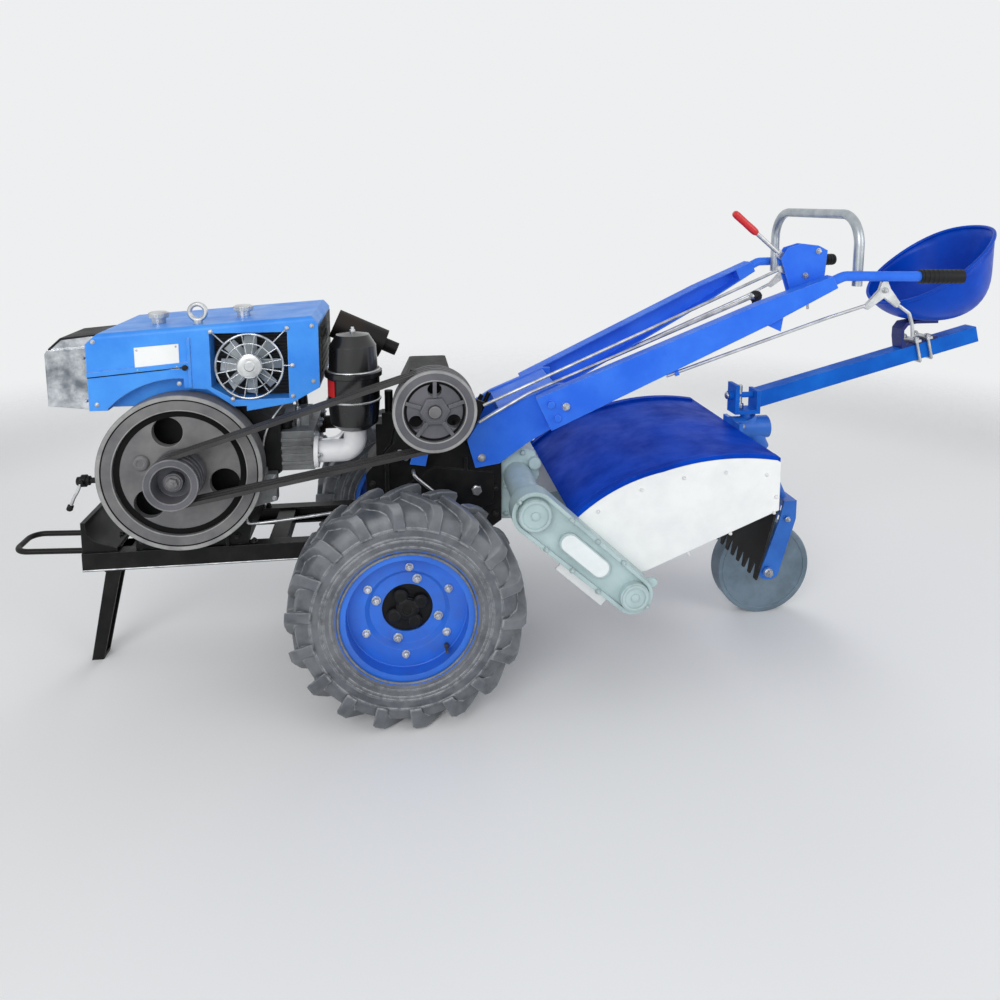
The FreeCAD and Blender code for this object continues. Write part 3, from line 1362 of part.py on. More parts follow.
def controls():
    outer = -number(size.quadrantY)
    inner = outer + number(size.sheet * 2 + size.quadrantGap)
    shares = [(0, 0.708), (0.143, 0.917), (0.443, 1), (0.8, 0.958), (1, 0.861), (0.943, 0.1), (0.25, 0)]
    plates = [sideOutline("quadrantPlate", spread(size.quadrantX, size.quadrantZ, size.quadrantLength,
                                                  size.quadrantHeight, shares), ys)
              for ys in ((-size.quadrantY, -size.quadrantY + size.sheet),
                         (-size.quadrantY + size.sheet + size.quadrantGap,
                          -size.quadrantY + size.sheet * 2 + size.quadrantGap))]
    pins = []
    spots = [(size.leverPivotX, size.leverPivotZ)]
    spots += [(size.quadrantX + size.quadrantLength * a, size.quadrantZ + size.quadrantHeight * b)
              for a, b in ((0.8, 0.85), (0.86, 0.22))]
    for x, z in spots:
        pins.append(cylinder("quadrantPin", "Y", (x, -size.quadrantY, z), size.leverRod * 1.2,
                             size.sheet * 2 + size.quadrantGap))
    node(fuse("leverQuadrant", plates + pins), "lever_quadrant")

    middle = (outer + inner) / 2
    half = number(size.steerThickness) / 3
    pivot = point(size.leverPivotX, middle, size.leverPivotZ)
    tip = point(size.leverTipX, middle, size.leverTipZ)
    way = (tip - pivot).normalize()
    reach = (tip - pivot).Length
    joint = pivot + (point(size.quadrantX, middle, size.quadrantZ + size.quadrantHeight * 0.5) - pivot) * 0.92
    rod = number(size.leverRod)
    shapes = [strap(pivot, rod * 2.3, pivot + way * (reach * 0.34), rod * 1.4, (middle - half, middle + half)),
              strap(pivot, rod * 2.3, joint, rod * 1.6, (middle - half, middle + half)),
              straightRod(pivot + way * (reach * 0.3), tip, rod),
              straightRod(tip - way * number(size.leverGripLength), tip + way * 2, size.leverGrip)]
    bore = Part.makeCylinder(rod * 1.2 + number(size.runningFit), 40, pivot - Vector(0, 20, 0), Vector(0, 1, 0))
    node(feature("clutchLever", shapes[0].multiFuse(shapes[1:]).cut(bore)), "clutch_lever")

    # rods from the gearbox lever to the clutch lever and to the gear knob
    rod = number(size.controlRod)
    lane = -number(size.handleFrontY - size.handleWidth / 2) - rod * 1.6
    first = straightRod(point(size.clutchRodX, lane, size.clutchRodZ), joint, rod)
    clear = Part.makeCylinder(number(size.leverRod) * 1.6 + number(size.runningFit), 60,
                              joint - Vector(0, 30, 0), Vector(0, 1, 0))
    knob = point(size.knobX, lane - rod * 4 / 3, size.knobZ)
    second = rodShape([point(size.gearRodX, lane, size.gearRodZ), point(size.gearBendX, lane, size.gearBendZ), knob],
                      rod, 30)
    ball = Part.makeSphere(rod * 3.4, knob)
    node(feature("controlRods", Part.makeCompound([first.cut(clear), second.fuse(ball)])), "control_rods")

    # steering levers under the handle tubes
    arms = []
    half = number(size.steerThickness) / 2
    top = number(size.handleTubeZ - size.handleTube - size.runningFit)
    length = number(size.steerLength)
    drop = number(size.steerDrop)
    for side in (-1, 1):
        path, pivot = steeringPath(side)
        corners = [Vector(pivot.x + length * a, pivot.y - half, pivot.z + drop * b) for a, b in [
            (-0.63, -1.04), (-0.5, -1.2), (0, -0.4), (0.42, -1.1), (0.51, -0.75), (0.18, 0.2)]]
        corners += [Vector(pivot.x + 8, pivot.y - half, top), Vector(pivot.x - 8, pivot.y - half, top),
                    Vector(pivot.x - 16, pivot.y - half, pivot.z + 4)]
        arm = Part.Face(Part.makePolygon(corners + corners[:1])).extrude(Vector(0, 2 * half, 0))
        rear = pivot + Vector(length * 0.44, 0, -drop * 0.86)
        hand = rodShape([rear, rear + Vector(length * 0.41, 0, -drop * 0.65),
                         rear + Vector(length * 0.54, 0, -drop * 1.5),
                         rear + Vector(length * 0.57, 0, -drop * 2.25)], size.steerRod, 12)
        arms.append(arm.multiFuse([rodShape(path[:2] + path[3:], size.steerRod, 30), hand]))
    node(feature("steeringLevers", Part.makeCompound(arms)), "steering_levers")


# seat on its beam

def clampPlace():
    # run along the beam to its first clamp, which follows the seat
    return (size.seatX - size.clampBack - size.beamFrontX) / turned("cos", size.beamRise)


def alongBeam(run, rise):
    along = turned("cos", size.beamRise)
    up = turned("sin", size.beamRise)
    return (size.beamFrontX + along * run - up * rise, size.beamFrontZ + up * run + along * rise)


def slanted(name, length, width, height, run, rise, y):
    thing = doc.addObject("Part::Box", name)
    thing.Placement = Placement(Vector(), Rotation(Vector(0, -1, 0), number(size.beamRise)))
    bind(thing, "Placement.Rotation.Angle", size.beamRise)
    for prop, value in (("Length", length), ("Width", width), ("Height", height)):
        bind(thing, prop, value)
    x, z = alongBeam(run, rise)
    return place(thing, x, y, z)


def seat():
    half = size.beamSide / 2
    inner = half - size.beamWall
    length = clampPlace() + size.beamOverhang
    outside = slanted("beamOutside", length + size.beamSide, size.beamSide, size.beamSide, -size.beamSide,
                      -half, -half)
    inside = slanted("beamInside", length + size.beamSide * 2, inner * 2, inner * 2, -size.beamSide * 1.5,
                     -inner, -inner)
    front = box("beamFrontCut", (size.beamFrontX - size.beamSide * 2, size.beamFrontX), (-half * 2, half * 2),
                (size.beamFrontZ - size.beamSide * 2, size.beamFrontZ + size.beamSide * 2))
    node(cut("seatBeam", outside, [inside, front]), "seat_beam")

    # bucket: a bowl turned about a standing axis, cut low in front and slanting at its sides
    rim = size.seatRadius
    wall = size.seatWall
    start = clampPlace() - size.beamSide
    low = size.beamFrontZ + turned("sin", size.beamRise) * start + half + size.springHeight
    bowl = turning("seatBowl", "Z", [
        (0, low),
        (rim * 0.5, low + wall),
        (rim * 0.86, low + size.seatHeight * 0.19),
        (rim, low + size.seatHeight * 0.5),
        (rim, low + size.seatHeight),
        (rim - wall, low + size.seatHeight),
        (rim - wall, low + size.seatHeight * 0.5 + wall / 4),
        (rim * 0.86 - wall, low + size.seatHeight * 0.19 + wall / 2),
        (rim * 0.5 - wall / 2, low + wall * 2),
        (0, low + wall),
    ], (size.seatX, 0, 0))
    lip = low + size.seatFrontHeight
    top = low + size.seatHeight + 1
    knee = size.seatX - rim * 0.45
    slope = (top - lip) * turned("cos", size.seatRake) / turned("sin", size.seatRake)
    opening = sideOutline("seatOpening", [
        (size.seatX - rim - 20, lip),
        (knee, lip),
        (knee + slope, top),
        (size.seatX - rim - 20, top),
    ], (-rim - 20, rim + 20))
    node(cut("seatPan", bowl, [opening]), "seat_pan")

    # leaf curled forward between the beam and the pan
    thick = size.springThickness
    reach = size.springReach
    x = size.seatX
    end = clampPlace() + size.clampPitch + size.beamSide * 0.7
    drop = size.springHeight
    leaf = sideOutline("seatLeaf", [
        alongBeam(start, half),
        alongBeam(end, half),
        alongBeam(end, half + thick),
        alongBeam(start + thick * 1.7, half + thick),
        (x - reach + thick, low - drop * 0.62),
        (x - reach + thick * 1.1, low - drop * 0.34),
        (x - reach + thick * 2.4, low - thick - drop * 0.07),
        (x - reach * 0.4, low - thick),
        (x + reach * 0.5, low - thick),
        (x + reach * 0.5, low),
        (x - reach * 0.42, low),
        (x - reach + thick * 1.7, low - drop * 0.06),
        (x - reach, low - drop * 0.29),
        (x - reach, low - drop * 0.62),
    ], (-size.springWidth / 2, size.springWidth / 2))
    node(leaf, "seat_spring")

    clamps = []
    rod = number(size.clampRod)
    gap = number(size.runningFit)
    leg = number(half) + rod + gap
    lift = number(half + thick)
    along = Vector(math.cos(math.radians(number(size.beamRise))), 0, math.sin(math.radians(number(size.beamRise))))
    up = Vector(-along.z, 0, along.x)
    aside = Vector(0, 1, 0)
    for turn in range(2):
        run = number(clampPlace() + size.clampPitch * turn)
        centre = point(size.beamFrontX, 0, size.beamFrontZ) + along * run
        low = centre - up * leg
        bow = straightRod(low - aside * leg, low + aside * leg, rod)
        legs = [straightRod(low + aside * (leg * way), centre + aside * (leg * way) + up * (lift + 18), rod)
                for way in (-1, 1)]
        plate = barShape([(centre - along * (rod * 2) + up * (lift + 4 + gap), 2 * leg + 4 * rod, 8),
                          (centre + along * (rod * 2) + up * (lift + 4 + gap), 2 * leg + 4 * rod, 8)], aside, up)
        nuts = [straightRod(centre + aside * (leg * way) + up * (lift + 8), centre + aside * (leg * way)
                            + up * (lift + 15), rod * 1.7) for way in (-1, 1)]
        clamps.append(bow.multiFuse(legs + [plate] + nuts))
    node(feature("beamClamps", Part.makeCompound(clamps)), "beam_clamps")


# rotary tiller

def tillerFrame():
    inner = size.tillerHalf + size.coverSheet
    case = sideOutline("inputCase", spread(size.gearboxRear, size.inputBottom, size.inputLength, size.inputHeight, [
        (0, 0), (0.55, 0), (1, 0.6), (0.9, 0.92), (0.5, 1), (0, 1)]), (-size.inputHalf, size.inputHalf))
    tube = cylinder("crossTube", "Y", (size.tubeX, -inner, size.tubeZ), size.tubeRadius, inner * 2)
    boss = cylinder("sideBoss", "Y", (size.gearboxRear + size.inputLength * 0.86, -size.inputHalf * 1.2,
                                      size.inputBottom + size.inputHeight * 0.78), size.rotorStub,
                    size.inputHalf * 0.4)
    node(fuse("inputCaseWhole", [case, tube, boss]), "tiller_input_case")

    upper = point(size.tubeX, 0, size.tubeZ)
    lower = point(size.rotorX, 0, size.rotorZ)
    along = (lower - upper).normalize()
    near = number(inner)
    thick = number(size.armThickness)
    face = -near - thick
    rim = number(size.armRim)
    floor = face + number(size.armRecess)
    radii = (number(size.armUpperRadius), number(size.armLowerRadius))
    arm = strap(upper, radii[0], lower, radii[1], (face, -near))
    field = strap(upper, radii[0] - rim, lower, radii[1] - rim, (face - 1, floor))
    middle = (upper + lower) * 0.5
    pad = number(size.armPad)
    shapes = [arm.cut(field),
              strap(middle - along * pad * 2.15, pad, middle + along * pad * 2.15, pad, (face - 2, floor + 2)),
              strap(lower, radii[1] * 0.5, lower + Vector(radii[1] * 1.15, 0, radii[1] * 0.42), rim,
                    (face + 20, face + 34))]
    for centre, radius in ((upper, size.armUpperCap), (lower, size.armLowerCap)):
        shapes.append(Part.makeCylinder(number(radius), number(size.armCap + size.armRecess) + 2,
                                        Vector(centre.x, face - number(size.armCap), centre.z), Vector(0, 1, 0)))
    reach = near + number(size.sideGap) + number(size.bearingArm) * 0.85
    bore = Part.makeCylinder(number(size.rotorStub + size.runningFit), 2 * reach,
                             Vector(lower.x, -reach, lower.z), Vector(0, 1, 0))
    node(feature("gearArm", shapes[0].multiFuse(shapes[1:]).cut(bore)), "gear_arm")
    thin = number(size.bearingArm)
    arm = strap(upper, radii[0], lower, radii[1], (near, near + thin))
    caps = [Part.makeCylinder(number(radius), number(size.armCap), Vector(centre.x, near + thin - 1, centre.z),
                              Vector(0, 1, 0))
            for centre, radius in ((upper, size.armUpperCap), (lower, size.armLowerCap))]
    node(feature("bearingArmPlate", arm.multiFuse(caps).cut(bore)), "bearing_arm")


def rotor():
    end = size.tillerHalf - size.sideGap * 2
    stub = size.tillerHalf + size.coverSheet + size.bearingArm * 0.6
    tube = turning("rotorTube", "Y", [
        (-stub, 0),
        (-stub, size.rotorStub),
        (-end, size.rotorStub),
        (-end, size.rotorRadius),
        (end, size.rotorRadius),
        (end, size.rotorStub),
        (stub, size.rotorStub),
        (stub, 0),
    ], (size.rotorX, 0, size.rotorZ))
    count = int(number(size.holderCount))
    length = number(size.holderLength)
    width = number(size.holderWidth)
    root = number(size.rotorRadius) * 0.8
    tip = number(size.holderReach)
    span = number(end) - width
    holders = []
    for turn in range(count):
        y = -span + turn * 2 * span / (count - 1)
        holder = Part.makeBox(length, width, tip - root, Vector(-length / 2, -width / 2, root))
        slot = Part.makeBox(length / 2, width / 2.6, length, Vector(-length / 4, -width / 5.2, tip - length))
        holder = holder.cut(slot)
        holder.rotate(Vector(), Vector(0, 1, 0), turn * number(size.holderTurn))
        holder.translate(point(size.rotorX, y, size.rotorZ))
        holders.append(holder)
    node(fuse("rotor", [tube, feature("tineHolders", Part.makeCompound(holders))]), "rotor")


def coverSpots(y):
    # five places along the cover's outer face; it is bent along two arcs through them
    return [point(size.coverFrontX + size.coverLength * run, y, size.coverFrontZ + size.coverRise * rise)
            for run, rise in ((0, 0), (0.183, 0.497), (0.421, 0.813), (0.761, 1), (0.983, 0.927))]


def shifted(spots, amount):
    # the places moved square to a sheet bent along two arcs; towards its hollow side for a positive amount
    front, rear = Part.Arc(*spots[:3]).toShape(), Part.Arc(*spots[2:]).toShape()
    centres = [front.Curve.Center, front.Curve.Center, (front.Curve.Center + rear.Curve.Center) * 0.5,
               rear.Curve.Center, rear.Curve.Center]
    return [spot + (centre - spot).normalize() * amount for spot, centre in zip(spots, centres)]


def bentSection(outer, inner):
    # the section of a sheet between two pairs of arcs
    return Part.Face(Part.Wire([
        Part.Arc(*outer[:3]).toShape(),
        Part.Arc(*outer[2:]).toShape(),
        Part.LineSegment(outer[4], inner[4]).toShape(),
        Part.Arc(inner[4], inner[3], inner[2]).toShape(),
        Part.Arc(inner[2], inner[1], inner[0]).toShape(),
        Part.LineSegment(inner[0], outer[0]).toShape(),
    ]))


def cover():
    half = number(size.tillerHalf)
    thick = number(size.coverSheet)
    rise = number(size.coverBeadHeight)
    band = number(size.coverBead)
    outer = half + thick
    # the sheet between two rolled bands, which lie over the side plates
    shapes = []
    for y, width, lift in ((-outer, band, rise), (band - outer, 2 * (outer - band), 0), (outer - band, band, rise)):
        spots = coverSpots(y)
        shapes.append(bentSection(shifted(spots, -lift), shifted(spots, thick)).extrude(Vector(0, width, 0)))
    rear = size.coverFrontX + size.coverLength
    edge = size.coverFrontZ + size.coverRise * 0.916 + size.coverSheet * 0.75
    deep = number(size.coverBeam)
    shapes.append(Part.makeBox(deep, 2 * half, deep + 3, point(rear - deep, -half, edge - deep - 3)))
    node(feature("tillerCover", shapes[0].multiFuse(shapes[1:])), "tiller_cover")
    panels = []
    drop = number(size.coverSheet + size.runningFit * 2)
    for side in (-1, 1):
        y = half * side
        spots = shifted(coverSpots(y), drop)
        arcs = [Part.Arc(*spots[:3]).toShape(), Part.Arc(*spots[2:]).toShape()]
        low = number(size.coverFrontZ + size.coverRise * 0.916 - size.panelRearHeight)
        lower = [spots[4], point(rear, y, low + number(size.panelRearHeight) - 2 * drop), point(rear, y, low),
                 point(size.rotorX + size.armLowerRadius, y, low - 155),
                 point(size.rotorX - 118, y, low - 177), point(size.tubeX + 27, y, low - 74),
                 point(size.tubeX + 18, y, low + 4), spots[0]]
        lines = [Part.LineSegment(here, there).toShape() for here, there in zip(lower, lower[1:])]
        panel = Part.Face(Part.Wire(arcs + lines)).extrude(Vector(0, thick * side, 0))
        for x, z, radius in ((size.tubeX, size.tubeZ, size.tubeRadius), (size.rotorX, size.rotorZ, size.rotorStub)):
            panel = panel.cut(Part.makeCylinder(number(radius) + drop, 4 * thick, point(x, y - 2 * thick, z),
                                                Vector(0, 1, 0)))
        panels.append(panel)
    node(feature("sidePanels", Part.makeCompound(panels)), "side_panels")


def comb():
    # a bent plate with teeth, on the rear face of the cover's beam
    half = number(size.combHalf)
    thick = number(size.combThickness)
    rear = size.coverFrontX + size.coverLength
    top = number(size.coverFrontZ + size.coverRise * 0.916) - 22
    drop = number(size.combDrop)
    bend = top - drop * 0.385
    lean = number(size.combLean)
    corners = [point(rear, -half, top), point(rear + thick, -half, top), point(rear + thick, -half, bend),
               point(rear + thick - lean, -half, top - drop), point(rear - lean, -half, top - drop),
               point(rear, -half, bend)]
    plate = Part.Face(Part.makePolygon(corners + corners[:1])).extrude(Vector(0, 2 * half, 0))
    count = int(number(size.combTeeth))
    pitch = 2 * half / (count - 0.4)
    tooth = number(size.combTooth)
    gaps = []
    for turn in range(count - 1):
        middle = -half + pitch * (turn + 0.8)
        profile = [Vector(corners[3].x - thick * 2, middle + pitch * a, top - drop + z)
                   for a, z in ((-0.34, -2), (0.34, -2), (0.12, tooth), (-0.12, tooth))]
        gaps.append(Part.Face(Part.makePolygon(profile + profile[:1])).extrude(Vector(lean + thick * 3, 0, 0)))
    middle = number(size.clevisWidth)
    notch = Part.makeBox(thick * 4, 2 * middle + 10, 60, point(rear - thick, -middle - 5, top - 44))
    slot = Part.makeBox(thick * 4, 60, 9, point(rear - thick, -30, bend + 40))
    node(feature("combPlate", plate.cut(gaps + [notch, slot])), "comb_plate")


# tail wheel

def tail():
    hub = size.tailHalf + size.forkGap - size.sideGap
    bore = size.tailAxle + size.runningFit
    edge = size.tailHalf * 0.13
    node(turning("tailWheel", "Y", [
        (-hub, bore),
        (-hub, size.tailAxle * 2.4),
        (-size.tailHalf, size.tailAxle * 2.8),
        (-size.tailHalf, size.tailRadius - edge),
        (-size.tailHalf + edge, size.tailRadius),
        (size.tailHalf - edge, size.tailRadius),
        (size.tailHalf, size.tailRadius - edge),
        (size.tailHalf, size.tailAxle * 2.8),
        (hub, size.tailAxle * 2.4),
        (hub, bore),
    ], (size.tailX, 0, size.tailRadius)), "tail_wheel")
    near = size.tailHalf + size.forkGap
    far = near + size.forkPlate
    crown = size.tailX + size.forkWidth * 1.17
    back = crown + size.forkWidth
    axle = size.tailRadius
    solids = []
    for side in (-1, 1):
        solids.append(sideOutline("forkLeg", [
            (crown, size.forkTop),
            (back, size.forkTop),
            (back, size.forkTop - 60),
            (size.tailX + size.forkWidth * 0.92, axle - 15, -size.forkWidth),
            (size.tailX - size.forkWidth * 0.62, axle - 15),
            (size.tailX + size.forkWidth * 0.84, size.forkTop - 64),
        ], across(side, near, far)))
    solids.append(box("forkCrown", (crown, back), (-far, far), (size.forkTop - 22, size.forkTop)))
    for x, z, radius, reach in ((size.tailX, axle, size.tailAxle, far + 18),
                                (crown + size.tailAxle, size.forkTop - 58, size.tailAxle * 0.8, far + 8)):
        solids.append(cylinder("forkBolt", "Y", (x, -reach, z), radius, reach * 2))
    for side in (-1, 1):
        solids.append(cylinder("axleNut", "Y", (size.tailX, across(side, far, far + 11)[0], axle),
                               size.tailAxle * 1.8, 11))
    foot = point(crown + size.forkWidth * 0.45, 0, size.forkTop - 10)
    top = point(size.stemTopX, 0, size.stemTopZ)
    way = (top - foot).normalize()
    long = straightRod(foot, top + way * 40, size.stemRadius)
    above = Part.makeBox(400, 400, 400, top - Vector(200, 200, 0))
    solids.append(feature("tailStem", long.cut(above)))
    node(fuse("tailFork", solids), "tail_fork")

    def onStem(z):
        return foot + way * ((number(z) - foot.z) / way.z)

    rear = size.coverFrontX + size.coverLength
    tube = straightRod(onStem(size.sleeveLow), onStem(size.stemTopZ - size.stemRadius * 1.1), size.sleeveRadius)
    barrel = Part.makeCylinder(number(size.barrelRadius), number(size.barrelLength), point(rear, 0, size.barrelZ),
                               Vector(1, 0, 0))
    width = number(size.clevisWidth)
    flange = Part.makeBox(12, 2 * width, 66, point(rear, -width, size.barrelZ - size.barrelRadius - 2))
    hole = straightRod(foot, top + way * 80, size.stemRadius + size.runningFit)
    node(feature("tailSleeve", tube.multiFuse([barrel, flange]).cut(hole)), "tail_sleeve")

    plate = size.clevisPlate
    front = size.beamFrontX - size.clevisHeight * 0.88
    half = size.clevisWidth / 2
    solids = [
        box("clevisFront", (front, front + plate), (-half, half), (size.stemTopZ, size.stemTopZ + size.clevisHeight)),
        box("clevisBase", (front, size.beamFrontX), (-half, half), (size.stemTopZ, size.stemTopZ + plate)),
        box("clevisRear", (size.beamFrontX - plate, size.beamFrontX), (-half, half),
            (size.stemTopZ, size.stemTopZ + size.clevisHeight * 0.79)),
        cylinder("clevisBolt", "X", (front - plate * 1.2, 0, size.stemTopZ + size.clevisHeight * 0.6),
                 plate * 0.75, size.beamFrontX - front),
        cylinder("clevisNut", "X", (front - plate, 0, size.stemTopZ + size.clevisHeight * 0.6), plate * 1.25, plate),
    ]
    node(fuse("hitchClevis", solids), "hitch_clevis")


rails()
nose()
stand()
engine()
flywheel()
clutchPulley()
belts()
hood()
fan()
headLamp()
intake()
exhaust()
gearbox()
wheels()
handleBase()
handles()
hoop()
controls()
seat()
tillerFrame()
rotor()
cover()
comb()
tail()

doc.recompute()
os.makedirs("parts", exist_ok=True)
for thing in doc.Objects:
    if "Invalid" in thing.State or "Error" in thing.State:
        raise RuntimeError(f"{thing.Label} failed: {thing.State}")
for thing in nodes:
    if thing.Shape.isNull() or not thing.Shape.isValid():
        raise RuntimeError(f"{thing.Label} has no valid shape")
    thing.Shape.exportStep(f"parts/{thing.Label}.step")
print(len(nodes), "pieces written")
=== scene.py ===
import math
import bmesh
import bpy
from mathutils import Matrix, Vector


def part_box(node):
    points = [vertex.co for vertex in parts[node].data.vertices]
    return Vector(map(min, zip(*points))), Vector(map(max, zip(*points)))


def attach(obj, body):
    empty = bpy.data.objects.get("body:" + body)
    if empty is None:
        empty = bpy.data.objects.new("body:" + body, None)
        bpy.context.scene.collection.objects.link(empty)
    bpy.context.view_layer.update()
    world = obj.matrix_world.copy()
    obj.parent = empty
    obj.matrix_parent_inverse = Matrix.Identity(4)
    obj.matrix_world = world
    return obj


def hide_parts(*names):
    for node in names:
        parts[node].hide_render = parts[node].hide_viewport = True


# walking tractor with a rotary tiller: paint, tyres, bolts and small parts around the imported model
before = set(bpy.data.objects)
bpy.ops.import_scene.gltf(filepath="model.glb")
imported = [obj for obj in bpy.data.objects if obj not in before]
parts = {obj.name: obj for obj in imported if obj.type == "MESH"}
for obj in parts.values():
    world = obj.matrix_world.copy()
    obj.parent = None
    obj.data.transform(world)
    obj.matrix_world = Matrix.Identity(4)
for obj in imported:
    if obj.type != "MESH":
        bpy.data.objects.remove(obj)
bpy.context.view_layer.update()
print("frame loaded:", len(parts), "nodes")

mm = 0.001
left = Vector((0, -1, 0))
right = Vector((0, 1, 0))
up = Vector((0, 0, 1))
forward = Vector((-1, 0, 0))
rearward = Vector((1, 0, 0))
bothSides = (("left", -1, left), ("right", 1, right))


def middleOf(part):
    low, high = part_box(part)
    return (low + high) / 2


wheelAxle = middleOf("tyre_left")


def spot(x, y, z):
    # millimetres behind the wheel axle, right of the middle and over the floor
    return Vector((wheelAxle.x + x * mm, y * mm, z * mm))


def route(points):
    return [spot(*point) for point in points]


def atY(y, *pairs):
    # points on an upright face of the machine, from pairs of x and z
    return [(x, y, z) for x, z in pairs]


def onFace(y, pairs):
    return route(atY(y, *pairs))


def sideRay(degrees):
    # an arrow of length one in the machine's left or right face
    angle = math.radians(degrees)
    return Vector((math.cos(angle), 0, math.sin(angle)))


def ring(centre, radius, count, first=0.0):
    # places on a circle that stands across the machine, in its left or right face
    return [centre + sideRay(first + 360 / count * turn) * (radius * mm) for turn in range(count)]


# finishes: screen colours from 0 to 255, edges in millimetres, grainSize and toneSize in spots for each metre

